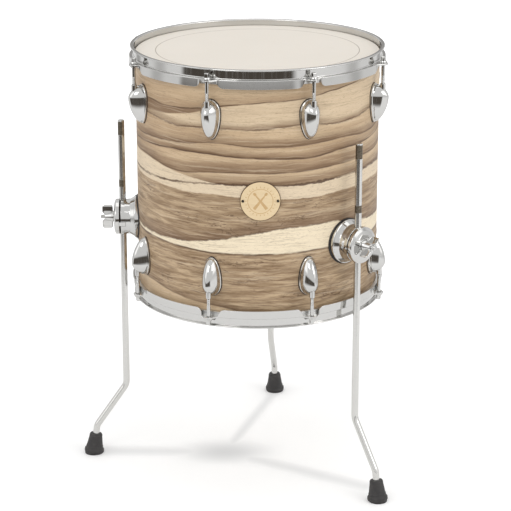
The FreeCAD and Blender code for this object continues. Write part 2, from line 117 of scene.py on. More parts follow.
BADGE_PIN_OFFSET, BADGE_PIN_R = 24.6, 2.0
VENT_AZIMUTH, VENT_HOLE_R, VENT_BORE_R = -135.0, 6.5, 5.0
SHARP_ANGLE = math.radians(32)


# ---- shape helpers
def drum_centred():
    """Matrix of a piece drawn about the drum's own axis."""
    return Matrix.Translation((DRUM_AXIS.x, DRUM_AXIS.y, 0))


def place(azimuth, lower=False):
    """Matrix from a piece's own frame to the drum, in millimetres."""
    matrix = drum_centred() @ turned_to(azimuth)
    if lower:
        middle = Matrix.Translation((0, 0, MID_Z))
        matrix = matrix @ middle @ Matrix.Rotation(math.pi, 4, "X") @ middle.inverted()
    return matrix


def turned_to(azimuth):
    """Turn from +X to an azimuth."""
    return Matrix.Rotation(math.radians(azimuth - 90), 4, "Z")


def in_metres(matrix):
    scaled = matrix.copy()
    scaled.translation = matrix.translation * MM
    return scaled


def round_angles(count, start=0.0):
    return [2 * math.pi * (step + start) / count for step in range(count)]


def quarter_angles(steps, first=0):
    """Angles of a quarter turn, 0 to 90 degrees in so many steps."""
    return [math.pi / 2 * step / steps for step in range(first, steps + 1)]


def circle(radius, z, count, centre=(0, 0)):
    """Level ring of points."""
    return [Vector((centre[0] + radius * math.cos(angle), centre[1] + radius * math.sin(angle), z))
            for angle in round_angles(count)]


def loft(rings, closed=False):
    """Skin over rings of points. A ring of one point is a pole, and an open end gets a flat cap."""
    points, starts, faces = [], [], []
    for ring in rings:
        starts.append(len(points))
        points += ring
    pairs = [(index, index + 1) for index in range(len(rings) - 1)]
    if closed:
        pairs.append((len(rings) - 1, 0))
    for first, second in pairs:
        count = max(len(rings[first]), len(rings[second]))
        for step in range(count):
            following = (step + 1) % count
            corners = [starts[first] + step % len(rings[first]),
                       starts[first] + following % len(rings[first]),
                       starts[second] + following % len(rings[second]),
                       starts[second] + step % len(rings[second])]
            faces.append(list(dict.fromkeys(corners)))
    if not closed:
        for index in (0, len(rings) - 1):
            if len(rings[index]) > 1:
                faces.append([starts[index] + step for step in range(len(rings[index]))])
    return points, faces


def moved(shape, matrix):
    points, faces = shape
    return [matrix @ point for point in points], faces


def joined(shapes):
    """Several shapes as one."""
    points, faces = [], []
    for more_points, more_faces in shapes:
        start = len(points)
        points += more_points
        faces += [[start + corner for corner in face] for face in more_faces]
    return points, faces


def rounded(corners, steps=4):
    """Outline through (across, along, radius) corners, with an arc of its radius at each."""
    outline = []
    for index, (across, along, radius) in enumerate(corners):
        here = Vector((across, along))
        if radius == 0:
            outline.append((across, along))
            continue
        back = (Vector(corners[index - 1][:2]) - here).normalized()
        ahead = (Vector(corners[(index + 1) % len(corners)][:2]) - here).normalized()
        half = back.angle(ahead) / 2
        first = here + back * (radius / math.tan(half))
        last = here + ahead * (radius / math.tan(half))
        centre = here + (back + ahead).normalized() * (radius / math.sin(half))
        for step in range(steps + 1):
            spoke = (first.lerp(last, step / steps) - centre).normalized() * radius
            outline.append(tuple(centre + spoke))
    return outline


def turned(outline, count=64, closed=False):
    """Solid of revolution about the vertical axis of a (radius, height) outline."""
    rings = [circle(radius, height, count) if radius > 1e-6 else [Vector((0, 0, height))]
             for radius, height in outline]
    return loft(rings, closed)


LYING = Matrix.Rotation(math.pi / 2, 4, "Y")        # turns +Z to +X


def turned_outwards(outline, z, count=64, closed=False):
    """Solid of revolution about an outward line at height z, of a (radius, distance) outline."""
    return moved(turned(outline, count, closed), Matrix.Translation((0, 0, z)) @ LYING)


def turned_at(outline, out_x):
    """Ring of a closed outline about a vertical line this far out."""
    return moved(turned(outline, 48, closed=True), Matrix.Translation((out_x, 0, 0)))


def wrapped_x(radius, y):
    """How far out a cylinder of this radius about the drum's axis is at a sideways offset."""
    return math.sqrt(radius * radius - y * y)


def round_bar(radius, low, high, count=48, centre=(0, 0)):
    return loft([circle(radius, low, count, centre), circle(radius, high, count, centre)])


def box_shape(x_range, y_range, z_range):
    """Plain cutter for a slot."""
    rings = [[Vector((x, y, z)) for x, y in ((x_range[0], y_range[0]), (x_range[1], y_range[0]),
                                             (x_range[1], y_range[1]), (x_range[0], y_range[1]))]
             for z in z_range]
    return loft(rings)


def threaded_rings(radius, low, high, depth=0.42, count=32, per_turn=6):
    """Rings of a screw thread that fades in and out at its ends."""
    rings = []
    total = max(2, round((high - low) / THREAD_PITCH * per_turn))
    for index in range(total + 1):
        z = low + (high - low) * index / total
        fade = min(1.0, (z - low) / THREAD_PITCH, (high - z) / THREAD_PITCH)
        ring = []
        for step in range(count):
            phase = (z / THREAD_PITCH - step / count) % 1
            r = radius - depth * fade * (1 - abs(2 * phase - 1))
            angle = 2 * math.pi * step / count
            ring.append(Vector((r * math.cos(angle), r * math.sin(angle), z)))
        rings.append(ring)
    return rings


# ---- object helpers
def build_mesh(name, shape, *materials):
    """Smooth-shaded mesh in metres, with outward faces and sharp edges kept."""
    points, faces = shape
    mesh = bpy.data.meshes.new(name)
    mesh.from_pydata([point * MM for point in points], [], faces)
    work = bmesh.new()
    work.from_mesh(mesh)
    bmesh.ops.recalc_face_normals(work, faces=work.faces)
    work.to_mesh(mesh)
    work.free()
    finish_mesh(mesh, *materials)
    return mesh


def finish_mesh(mesh, *materials):
    mesh.materials.clear()
    for material in materials:
        mesh.materials.append(material)
    mesh.shade_smooth()
    mesh.set_sharp_from_angle(angle=SHARP_ANGLE)


def evaluated(piece):
    """The piece's mesh with its modifiers applied; the piece is removed."""
    bpy.context.view_layer.update()
    graph = bpy.context.evaluated_depsgraph_get()
    mesh = bpy.data.meshes.new_from_object(piece.evaluated_get(graph))
    mesh.name = piece.name
    bpy.data.objects.remove(piece)
    return mesh


def combined_mesh(name, shape, others, *materials, operation="DIFFERENCE", bevel=0.0):
    """Mesh of a shape less other shapes, or united with them, with a bevel on its sharp edges."""
    piece = bpy.data.objects.new(name, build_mesh(name, shape, *materials))
    tool = bpy.data.objects.new(name + "_tool", build_mesh(name + "_tool", joined(others)))
    for thing in (piece, tool):
        bpy.context.scene.collection.objects.link(thing)
    step = piece.modifiers.new("combine", "BOOLEAN")
    step.operation, step.solver, step.object, step.use_self = operation, "EXACT", tool, True
    if bevel:
        edge = piece.modifiers.new("edge", "BEVEL")
        edge.width, edge.segments, edge.limit_method = bevel * MM, 2, "ANGLE"
        edge.angle_limit = SHARP_ANGLE
    mesh = evaluated(piece)
    bpy.data.objects.remove(tool)
    finish_mesh(mesh, *materials)
    return mesh


def merged_mesh(name, meshes, *materials):
    """Several meshes as one."""
    work = bmesh.new()
    for mesh in meshes:
        work.from_mesh(mesh)
    whole = bpy.data.meshes.new(name)
    work.to_mesh(whole)
    work.free()
    finish_mesh(whole, *materials)
    return whole


def placed(mesh, matrix):
    """Copy of a mesh with its place worked into its points."""
    copy = mesh.copy()
    copy.transform(in_metres(matrix))
    return copy


def add_piece(name, mesh, body, nodes, matrix=Matrix()):
    """A piece of the drum in its place, riding on a body and standing for CAD nodes."""
    piece = bpy.data.objects.new(name, mesh)
    bpy.context.scene.collection.objects.link(piece)
    piece.matrix_world = in_metres(matrix)
    normals = piece.modifiers.new("flat_faces_stay_flat", "WEIGHTED_NORMAL")
    normals.keep_sharp = True
    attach(piece, body)
    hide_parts(*nodes)
    return piece


# ---- material helpers
class Nodes:
    """Shader nodes of one tree, made and joined by short calls."""

    def __init__(self, tree):
        self.tree = tree

    def new(self, kind):
        return self.tree.nodes.new(kind)

    def fill(self, socket, value):
        if isinstance(value, bpy.types.NodeSocket):
            self.tree.links.new(value, socket)
        else:
            socket.default_value = value

    def maths(self, operation, *values, clamp=False):
        node = self.new("ShaderNodeMath")
        node.operation, node.use_clamp = operation, clamp
        for socket, value in zip(node.inputs, values):
            self.fill(socket, value)
        return node.outputs[0]

    def times(self, *values, clamp=False):
        return self.maths("MULTIPLY", *values, clamp=clamp)

    def plus(self, *values, clamp=False):
        return self.maths("ADD", *values, clamp=clamp)

    def minus(self, *values):
        return self.maths("SUBTRACT", *values)

    def scaled(self, value, factor, offset):
        return self.maths("MULTIPLY_ADD", value, factor, offset)

    def size(self, value):
        return self.maths("ABSOLUTE", value)

    def length(self, across, along):
        return self.maths("SQRT", self.plus(self.times(across, across), self.times(along, along)))

    def parts(self, vector):
        node = self.new("ShaderNodeSeparateXYZ")
        self.fill(node.inputs[0], vector)
        return node.outputs

    def vector(self, x=0.0, y=0.0, z=0.0):
        node = self.new("ShaderNodeCombineXYZ")
        for socket, value in zip(node.inputs, (x, y, z)):
            self.fill(socket, value)
        return node.outputs[0]

    def noise(self, vector, scale=1.0, detail=2.0, rough=0.5, distortion=0.0, seed=None):
        node = self.new("ShaderNodeTexNoise")
        if seed is not None:
            node.noise_dimensions = "4D"
            node.inputs["W"].default_value = seed
        self.fill(node.inputs["Vector"], vector)
        settings = {"Scale": scale, "Detail": detail, "Roughness": rough, "Distortion": distortion}
        for name, value in settings.items():
            self.fill(node.inputs[name], value)
        return node.outputs["Fac"]

    def smooth(self, value, low, high, start=0.0, end=1.0):
        """Smooth step from start to end as the value goes from low to high."""
        node = self.new("ShaderNodeMapRange")
        node.interpolation_type = "SMOOTHSTEP"
        for socket, content in zip(node.inputs, (value, low, high, start, end)):
            self.fill(socket, content)
        return node.outputs[0]

    def mix(self, factor, first, second, blend="MIX"):
        node = self.new("ShaderNodeMix")
        node.data_type, node.blend_type = "RGBA", blend
        self.fill(node.inputs[0], factor)
        self.fill(node.inputs[6], first)
        self.fill(node.inputs[7], second)
        return node.outputs[2]


    def mix_shaders(self, factor, first, second):
        node = self.new("ShaderNodeMixShader")
        for socket, value in zip(node.inputs, (factor, first, second)):
            self.fill(socket, value)
        return node.outputs[0]

    def emission(self, colour, strength=1.0):
        node = self.new("ShaderNodeEmission")
        node.inputs["Color"].default_value = colour
        node.inputs["Strength"].default_value = strength
        return node.outputs[0]

    def look_up(self, group, value):
        node = self.new("ShaderNodeGroup")
        node.node_tree = group
        self.fill(node.inputs[0], value)
        return node.outputs[0]


class Graph(Nodes):
    """The nodes of one material."""

    def __init__(self, name):
        self.material = bpy.data.materials.new(name)
        self.material.use_nodes = True
        super().__init__(self.material.node_tree)
        self.shader = self.tree.nodes["Principled BSDF"]
        self.coordinates = self.new("ShaderNodeTexCoord").outputs["Object"]

    def bump(self, height, distance_mm, strength=1.0):
        node = self.new("ShaderNodeBump")
        self.fill(node.inputs["Height"], height)
        node.inputs["Distance"].default_value = distance_mm * MM
        node.inputs["Strength"].default_value = strength
        self.tree.links.new(node.outputs[0], self.shader.inputs["Normal"])

    def set(self, **values):
        for name, value in values.items():
            self.fill(self.shader.inputs[name.replace("_", " ")], value)
        return self.material


def srgb(red, green, blue):
    """Linear colour of 0-255 screen values."""
    def linear(value):
        share = value / 255
        return share / 12.92 if share <= 0.04045 else ((share + 0.055) / 1.055) ** 2.4
    return linear(red), linear(green), linear(blue), 1.0


# ---- materials
# Heights of the veneer's growth lines at these azimuths, left to right; past them they wander.
LINE_AZIMUTHS = (-60, -40, -20, 0, 20, 40, 60)
GROWTH_LINES = {
    "knot": (582, 580, 588, 595, 599, 607, 614),
    "knot_under": (566, 571, 586, 595, 599, 607, 614),
    "smudge": (560, 555, 557, 557, 562, 557, 563),
    "upper": (528, 530, 536, 532, 532, 535, 532),
    "main": (517, 520, 519, 516, 514, 519, 520),
    "fading": (497, 489, 495, 494, 495, 498, 500),
    "ragged": (471, 473, 477, 477, 476, 479, 480),
    "upper_cream_top": (495, 486, 478, 477, 476, 479, 480),
    "upper_cream_foot": (463, 461, 461, 458, 455, 458, 460),
    "lower_cream_top": (385, 387, 396, 409, 415, 414, 404),
    "lower_cream_foot": (379, 377, 376, 376, 377, 378, 378),
    "foot_tan": (312, 303, 297, 286, 284, 284, 284),
}
LINE_LOW, LINE_SPAN = 270.0, 360.0


def veneer_material():
    """Figured veneer laid round the shell: tan, brown and cream growth bands.

    The coordinates are the azimuth from the badge and the height in millimetres. A
    band darkens downwards to the thin dark line at its foot, and starts pale again under it."""
    g = Graph("veneer")
    x, y, z = g.parts(g.coordinates)
    angle = g.maths("ARCTAN2", x, g.times(y, -1.0))
    height = g.times(z, 1 / MM)

    def grain(long, tall, seed, detail=2.0, rough=0.5, distortion=0.0, level=height):
        """Noise stretched along the grain; long and tall are the size of its spots in mm."""
        spot = g.vector(g.times(x, 1 / (MM * long)), g.times(y, 1 / (MM * long)),
                        g.maths("DIVIDE", level, tall))
        return g.noise(spot, 1.0, detail, rough, distortion, seed)

    def swing(amount, long, tall, seed, detail=2.0):
        """Offset of up to the amount either way, in millimetres."""
        centred = g.minus(grain(long, tall, seed, detail), 0.5)
        return g.times(centred, 2.0 * amount)

    away = g.smooth(g.size(angle), math.radians(50), math.radians(100))
    drift = g.times(away, swing(24.0, 260.0, 150.0, 3.1, 1.0))
    level = g.plus(g.plus(height, drift), swing(2.4, 40.0, 22.0, 7.7, 3.0))
    rough_level = g.plus(level, swing(2.6, 7.0, 6.0, 5.3, 4.0))
    share = g.scaled(angle, 0.5 / math.pi, 0.5)

    def line(name):
        """Height of a growth line at this azimuth."""
        node = g.new("ShaderNodeFloatCurve")
        curve = node.mapping.curves[0]
        heights = GROWTH_LINES[name]
        behind = (heights[0] + heights[-1]) / 2
        azimuths = (-180, *LINE_AZIMUTHS, 180)
        knots = [(azimuth / 360 + 0.5, (level_mm - LINE_LOW) / LINE_SPAN)
                 for azimuth, level_mm in zip(azimuths, (behind, *heights, behind))]
        curve.points[0].location, curve.points[1].location = knots[0], knots[-1]
        for knot in knots[1:-1]:
            curve.points.new(*knot)
        node.mapping.update()
        g.fill(node.inputs["Value"], share)
        return g.scaled(node.outputs[0], LINE_SPAN, LINE_LOW)

    def above(name, soft=0.7, on=level):
        """1 above a growth line and 0 below it."""
        return g.smooth(g.minus(on, lines[name]), -soft, soft)

    def between(foot, top, soft=0.8, on=level):
        under = g.minus(1.0, above(top, soft, on))
        return g.times(above(foot, soft, on), under)

    def darkening(name, fade, strength, seed, on=level):
        """Brown that is strongest just above a line and fades upwards, uneven along the grain."""
        over = g.minus(on, lines[name])
        faded = g.minus(1.0, g.maths("DIVIDE", over, fade, clamp=True))
        uneven = g.scaled(grain(80.0, 6.0, seed, 4.0, 0.6), 2.2, -0.1)
        amount = g.times(g.times(faded, uneven), strength)
        return g.times(amount, above(name, 0.5, on), clamp=True)

    def stroke(name, half, strength, seed, on=level):
        """The thin dark line itself, broken in places."""
        off = g.size(g.minus(on, lines[name]))
        there = g.smooth(grain(36.0, 30.0, seed, 3.0), 0.3, 0.55, 0.35, 1.0)
        return g.times(g.smooth(off, half * 0.5, half * 1.7, strength, 0.0), there)

    lines = {name: line(name) for name in GROWTH_LINES}
    tan, pale, brown = srgb(204, 179, 146), srgb(220, 200, 170), srgb(126, 100, 75)
    dark, umber = srgb(84, 62, 45), srgb(116, 90, 68)
    cream, warm_cream = srgb(236, 221, 193), srgb(221, 202, 174)

    colour = g.mix(g.smooth(grain(150.0, 12.0, 1.7, 3.0), 0.36, 0.64), tan, srgb(184, 157, 125))
    colour = g.mix(g.times(between("smudge", "knot_under", 3.0), 0.62), colour, pale)
    colour = g.mix(g.times(between("knot_under", "knot"), 0.9), colour, brown)
    fades = (("knot", 18, 0.35, 1.1), ("smudge", 10, 0.85, 2.2), ("upper", 15, 0.95, 3.3),
             ("main", 13, 1.0, 4.4), ("fading", 19, 1.0, 5.5), ("ragged", 17, 1.0, 6.6))
    for name, fade, strength, seed in fades:
        colour = g.mix(darkening(name, fade, strength, seed), colour, brown)
    colour = g.mix(between("upper_cream_foot", "upper_cream_top", 1.0), colour, warm_cream)

    middle = between("lower_cream_top", "upper_cream_foot", 1.6, rough_level)
    low = between("foot_tan", "lower_cream_foot", 1.2)
    figured = g.plus(middle, low, clamp=True)
    mottled = g.mix(g.smooth(grain(46.0, 5.0, 4.4, 4.0, 0.6, 0.6), 0.34, 0.68), srgb(143, 118, 89),
                    srgb(194, 169, 137))
    colour = g.mix(figured, colour, mottled)
    colour = g.mix(g.times(darkening("lower_cream_top", 22, 0.8, 7.1, rough_level), middle),
                   colour, umber)
    colour = g.mix(g.times(darkening("foot_tan", 9, 0.6, 8.1), low), colour, umber)
    colour = g.mix(between("lower_cream_foot", "lower_cream_top", 1.0, rough_level), colour, cream)

    strokes = (("knot", 0.8, 0.85, 1.3, level), ("smudge", 1.0, 0.6, 2.3, rough_level),
               ("upper", 0.8, 0.7, 3.7, level), ("main", 1.0, 0.9, 4.7, level),
               ("fading", 0.9, 0.7, 5.7, level), ("ragged", 1.4, 0.95, 6.7, rough_level),
               ("lower_cream_top", 1.1, 0.7, 7.4, rough_level),
               ("lower_cream_foot", 1.1, 0.9, 8.4, level), ("foot_tan", 0.8, 0.45, 9.4, level))
    for name, half, strength, seed, on in strokes:
        colour = g.mix(stroke(name, half, strength, seed, on), colour, dark)

    wavy = g.plus(level, swing(3.0, 26.0, 14.0, 9.2, 3.0))
    streaks = g.smooth(grain(40.0, 1.3, 2.2, 4.0, 0.68, level=wavy), 0.5, 0.66)
    colour = g.mix(g.times(streaks, g.scaled(figured, 0.4, 0.34)), colour,
                   srgb(104, 79, 59))
    veins = g.size(g.minus(grain(60.0, 13.0, 6.1, 4.0, 0.62, 0.9), 0.5))
    veins = g.times(g.smooth(veins, 0.002, 0.02, 0.75, 0.0),
                    g.smooth(grain(80.0, 24.0, 3.6), 0.46, 0.62))
    colour = g.mix(g.times(veins, figured), colour, dark)
    lights = g.smooth(grain(70.0, 2.2, 6.6, 2.0, 0.5, level=wavy), 0.52, 0.74)
    colour = g.mix(g.times(lights, 0.36), colour, srgb(224, 205, 178))
    pores = g.smooth(grain(5.0, 0.7, 8.8, 2.0, 0.7), 0.55, 0.72)
    colour = g.mix(g.times(pores, 0.48), colour, srgb(120, 93, 70))

    seam = g.smooth(g.size(angle), math.pi - 0.5 / SHELL_R, math.pi)
    colour = g.mix(g.times(seam, 0.5), colour, dark)
    relief = g.minus(grain(14.0, 0.7, 1.1, 3.0), g.times(pores, 0.8))
    g.bump(relief, 0.05, 0.5)
    shine = g.scaled(grain(60.0, 20.0, 3.9), 0.12, 0.42)
    return g.set(Base_Color=colour, Roughness=shine, Specular_IOR_Level=0.3, Coat_Weight=0.08,
                 Coat_Roughness=0.25)


def chrome_material(name="chrome", rough=0.045, tint=(0.62, 0.615, 0.60, 1.0)):
    """Polished plating with faint handling marks and hardly any ripple."""
    g = Graph(name)
    marks = g.smooth(g.noise(g.coordinates, 180.0, 6.0, 0.7), 0.52, 0.8)
    haze = g.scaled(g.noise(g.coordinates, 24.0, 3.0), 0.03, rough)
    colour = g.mix(g.times(marks, 0.25), tint, (0.50, 0.49, 0.47, 1.0))
    g.bump(g.noise(g.coordinates, 90.0, 2.0), 0.006, 0.35)
    return g.set(Base_Color=colour, Metallic=1.0, Roughness=g.scaled(marks, 0.08, haze))


def knurl_painted_dark_material():
    """Knurled, roughened patches on a leg with fine lines across them, their darkness a painted
    reflection.
    """
    g = Graph("knurled_chrome_painted_dark")
    _, _, z = g.parts(g.coordinates)
    lines = g.maths("PINGPONG", g.times(z, 1 / MM), 0.5)
    patchy = g.noise(g.coordinates, 400.0, 4.0, 0.7)
    # Painted reflection: the knurl's dark look, from the darker studio it reflects, is put into its
    # colour; the relief and roughness are real.
    colour = g.mix(g.smooth(patchy, 0.3, 0.75), (0.09, 0.075, 0.055, 1.0), (0.22, 0.19, 0.15, 1.0))
    g.bump(lines, 0.25, 0.8)
    return g.set(Base_Color=colour, Metallic=1.0, Roughness=g.scaled(patchy, 0.3, 0.3))


def dull_metal_material(name, spots, stretch, shades, shine):
    """Unpolished metal, mottled or, when the spots are stretched, with fine lines round it."""
    g = Graph(name)
    x, y, z = g.parts(g.coordinates)
    mottle = g.noise(g.vector(x, y, g.times(z, stretch)), *spots)
    g.bump(mottle, 0.02, 0.4)
    dark, light = ((*shade, 1.0) for shade in shades)
    return g.set(Base_Color=g.mix(mottle, dark, light), Metallic=1.0,
                 Roughness=g.scaled(mottle, *shine))


def head_material():
    """Coated drum head: warm white and finely grained, with the edge of its control ring."""
    g = Graph("drum_head")
    x, y, z = g.parts(g.coordinates)
    radius = g.length(x, y)
    from_ring = g.size(g.minus(radius, CONTROL_RING_R * MM))
    edge = g.smooth(from_ring, 0.25 * MM, 0.95 * MM, 1.0, 0.0)
    clouds = g.noise(g.coordinates, 9.0, 4.0, 0.6)
    grain = g.noise(g.coordinates, 1500.0, 3.0, 0.6)
    colour = g.mix(clouds, srgb(225, 218, 208), srgb(218, 211, 200))
    colour = g.mix(g.times(g.smooth(grain, 0.4, 0.7), 0.2), colour, srgb(202, 195, 185))
    colour = g.mix(g.times(edge, 0.75), colour, srgb(134, 122, 110))
    step = g.smooth(radius, (CONTROL_RING_R - 0.4) * MM, (CONTROL_RING_R + 0.4) * MM, 3.0, 0.0)
    g.bump(g.plus(grain, step), 0.05, 0.5)
    return g.set(Base_Color=colour, Roughness=g.scaled(grain, 0.15, 0.5),
                 Subsurface_Weight=0.04, Subsurface_Radius=(0.004, 0.003, 0.002))


def rubber_material():
    """Moulded black rubber, dusty in patches."""
    g = Graph("black_rubber")
    dust = g.smooth(g.noise(g.coordinates, 60.0, 5.0, 0.65), 0.45, 0.8)
    pits = g.noise(g.coordinates, 900.0, 3.0)
    colour = g.mix(g.times(dust, 0.4), (0.022, 0.020, 0.020, 1.0), (0.085, 0.078, 0.074, 1.0))
    g.bump(pits, 0.05, 0.6)
    return g.set(Base_Color=colour, Roughness=g.scaled(dust, 0.2, 0.5))


def badge_material():
    """Pale maple with a scorched rim and a burnt motif; the mesh says where it is burnt."""
    g = Graph("badge_wood")
    x, y, z = g.parts(g.coordinates)
    burnt = g.new("ShaderNodeAttribute")
    burnt.attribute_name = "burnt"
    streaks = g.noise(g.vector(g.times(y, 60.0), g.times(z, 700.0), 0.4), 1.0, 4.0, 0.6)
    flecks = g.smooth(g.noise(g.coordinates, 1100.0, 2.0), 0.62, 0.75)
    colour = g.mix(streaks, srgb(230, 209, 172), srgb(212, 186, 144))
    colour = g.mix(g.times(flecks, 0.3), colour, srgb(186, 150, 104))
    colour = g.mix(g.smooth(burnt.outputs["Fac"], 0.05, 0.5, 0.0, 0.62), colour, srgb(178, 134, 70))
    colour = g.mix(g.smooth(burnt.outputs["Fac"], 0.6, 1.0), colour, srgb(62, 44, 30))
    g.bump(streaks, 0.03, 0.5)
    return g.set(Base_Color=colour, Roughness=g.scaled(streaks, 0.15, 0.42))


def pin_material():
    """Blackened brass pins, rubbed a little on top."""
    g = Graph("dark_pins")
    rub = g.smooth(g.noise(g.coordinates, 700.0, 3.0), 0.5, 0.8)
    colour = g.mix(rub, (0.035, 0.028, 0.022, 1.0), (0.16, 0.12, 0.08, 1.0))
    return g.set(Base_Color=colour, Metallic=0.8, Roughness=g.scaled(rub, -0.15, 0.5))


CHROME = chrome_material()
LEG_CHROME = chrome_material("leg_chrome", 0.18, (0.68, 0.675, 0.655, 1.0))
# The leg's knurled patches; their dark colour is painted reflection.
KNURL_PAINTED_DARK = knurl_painted_dark_material()
VENEER = veneer_material()
HEAD = head_material()
RUBBER = rubber_material()
BADGE_WOOD = badge_material()
PINS = pin_material()
ALUMINIUM = dull_metal_material("ring_aluminium", (40.0, 4.0, 0.7), 60.0,
                                ((0.62, 0.62, 0.61), (0.78, 0.78, 0.77)), (0.15, 0.3))
STEEL = dull_metal_material("plain_steel", (320.0, 5.0, 0.65), 1.0,
                            ((0.48, 0.48, 0.47), (0.66, 0.66, 0.64)), (0.2, 0.22))


# ---- shell, heads and hoops
def add_shell():
    inner = SHELL_R - SHELL_WALL
    upper = [(SHELL_R, MID_Z + 40), (SHELL_R, TOP_Z - 2.4)]
    upper += rounded([(SHELL_R, TOP_Z - 20, 0), (SHELL_R, TOP_Z, 2.2), (inner, TOP_Z, 0)])[1:-1]
    upper += [(inner + 4.0, TOP_Z - 0.1), (inner, TOP_Z - SHELL_WALL + 2.4), (inner, MID_Z + 40)]
    lower = [(radius, 2 * MID_Z - height) for radius, height in reversed(upper)]
    tube = turned(upper + lower, 256, closed=True)
    bore = [(0, inner - 5), (VENT_HOLE_R, inner - 5), (VENT_HOLE_R, SHELL_R + 5), (0, SHELL_R + 5)]
    vent = moved(turned_outwards(bore, MID_Z), turned_to(VENT_AZIMUTH))
    mesh = combined_mesh("shell_veneer", tube, [vent], VENEER)
    add_piece("shell_veneer", mesh, "drum", ["shell"], drum_centred())


def head_shape():
    """Film with its crown over the bearing edge and the collar down into the flesh ring."""
    collar, drop = SHELL_R + 0.5, TOP_Z - 12.2

    def crown(thickness, radius):
        edge, top = collar - HEAD_FILM_T + thickness, TOP_Z + thickness
        return rounded([(SHELL_R - 20, top, 0), (edge, top, radius), (edge, drop, 0)], 6)[1:-1]

    top = TOP_Z + HEAD_FILM_T
    outside = [(0, top), (CONTROL_RING_R, top), (SHELL_R - 2.6, top)] + crown(HEAD_FILM_T, 2.4)
    outside += [(collar, drop), (collar - HEAD_FILM_T, drop)]
    return turned(outside + crown(0.0, 2.1)[::-1] + [(0, TOP_Z)], 256)


EAR_REACH = 11.4                # how far an ear stands out past the skirt
EAR_SPREAD = 16.0               # half the width over which it swells
ARCH_START = 12.5               # where the skirt ends beside an ear
ARCH_SPREAD = 9.0               # how far it takes to curve down from there
LIP_TOP, LIP_FOOT, LIP_R, WALL_R = 9.4, 7.2, 185.1, 181.2


def hoop_stations():
    """Distances along the skirt from the middle of an ear to half way to the next one."""
    share = math.pi * HOOP_SKIRT_R / LUG_COUNT
    ear = [step * 1.25 for step in range(10)]
    arch = [ARCH_START + ARCH_SPREAD * (1 - math.cos(math.pi / 2 * step / 7)) for step in range(8)]
    start = ARCH_START + ARCH_SPREAD
    plain = [start + (share - start) * step / 14 for step in range(1, 15)]
    return ear + arch + plain


def hoop_section(distance):
    """Outline of the hoop's sheet at a distance from an ear: lip, wall, flange and skirt."""
    swell = 0.5 + 0.5 * math.cos(math.pi * min(1.0, distance / EAR_SPREAD))
    edge = HOOP_SKIRT_R + EAR_REACH * swell
    across = min(1.0, max(0.0, (ARCH_START + ARCH_SPREAD - distance) / ARCH_SPREAD))
    start = EAR_UNDER - 0.3
    foot = start - (start - SKIRT_BOTTOM) * math.sqrt(1 - across * across)
    hem = min(0.45, 0.3 * (EAR_UNDER - foot))
    flare = 0.1 * (EAR_UNDER - foot)
    inner = WALL_R - HOOP_SHEET
    return rounded([(inner, EAR_UNDER, 0.2), (inner, LIP_TOP, 1.5), (LIP_R, LIP_TOP, 1.05),
                    (LIP_R, LIP_FOOT, 1.05), (WALL_R, LIP_FOOT, 0.8), (WALL_R, EAR_TOP, 1.2),
                    (edge - flare, EAR_TOP, 1.0), (edge, foot, hem), (edge - HOOP_SHEET, foot, hem),
                    (edge - HOOP_SHEET - flare, EAR_UNDER, 0.01)])


def hoop_mesh():
    stations = hoop_stations()
    rings = []
    for azimuth in LUG_AZIMUTHS:
        for distance in [-d for d in reversed(stations[1:])] + stations[:-1]:
            angle = math.radians(azimuth - 90) + distance / HOOP_SKIRT_R
            across, along = math.cos(angle), math.sin(angle)
            rings.append([Vector((r * across, r * along, TOP_Z + z))
                          for r, z in hoop_section(abs(distance))])
    hole = round_bar(ROD_R + 0.65, TOP_Z - 12, TOP_Z, centre=(ROD_CIRCLE_R, 0))
    holes = [moved(hole, turned_to(azimuth)) for azimuth in LUG_AZIMUTHS]
    return combined_mesh("hoop", loft(rings, closed=True), holes, CHROME)


def add_heads_and_hoops():
    head = build_mesh("head_film", head_shape(), HEAD)
    hoop = hoop_mesh()
    for end, lower in (("top", False), ("bottom", True)):
        matrix = place(90, lower)
        add_piece(f"{end}_head_film", head, "drum", [f"{end}_head"], matrix)
        add_piece(f"{end}_flanged_hoop", hoop, "drum", [f"{end}_hoop"], matrix)


# ---- rods, washers, lugs and nuts
def square_ring(half, z, count=48, power=9.0):
    """Ring round a square with rounded corners."""
    ring = []
    for angle in round_angles(count, 0.5):
        across, along = math.cos(angle), math.sin(angle)
        reach = half / (abs(across) ** power + abs(along) ** power) ** (1 / power)
        ring.append(Vector((reach * across, reach * along, z)))
    return ring


def rod_shape():
    """Tension rod drawn about its own axis: tip, thread, shank, collar and square key head."""
    count = 48
    under = WASHER_TOP + 0.1
    head = under + 2.0
    tip = under - 67.2
    rings = [circle(ROD_R - 0.9, tip, count), circle(ROD_R, tip + 1.2, count)]
    rings += threaded_rings(ROD_R, LUG_Z + 16, LUG_Z + 31, count=count)
    rings += [circle(ROD_R, under - 1.0, count), circle(ROD_R, under, count)]
    collar = rounded([(0, under, 0), (5.2, under, 0.3), (4.4, head, 0.5), (0, head, 0)])[1:-1]
    rings += [circle(radius, z, count) for radius, z in collar]
    half, top = 2.95, head + 4.9
    rings += [square_ring(half, head, count), square_ring(half, top, count)]
    rings += [square_ring(half - 0.9 * (1 - math.cos(angle)), top + 1.3 * math.sin(angle), count)
              for angle in quarter_angles(5, 1)]
    return loft(rings)


def egg_ring(inset, height, half_w=LUG_HALF_W, up=LUG_UP, down=LUG_DOWN, count=96):
    """Ring round the lug's egg outline, drawn in by the inset, at a height off the shell."""
    ring = []
    for angle in round_angles(count):
        reach = up if math.sin(angle) > 0 else down
        y = (half_w - inset) * math.cos(angle)
        z = LUG_Z + (reach - inset) * math.sin(angle)
        ring.append(Vector((wrapped_x(SHELL_R, y) + height, y, z)))
    return ring


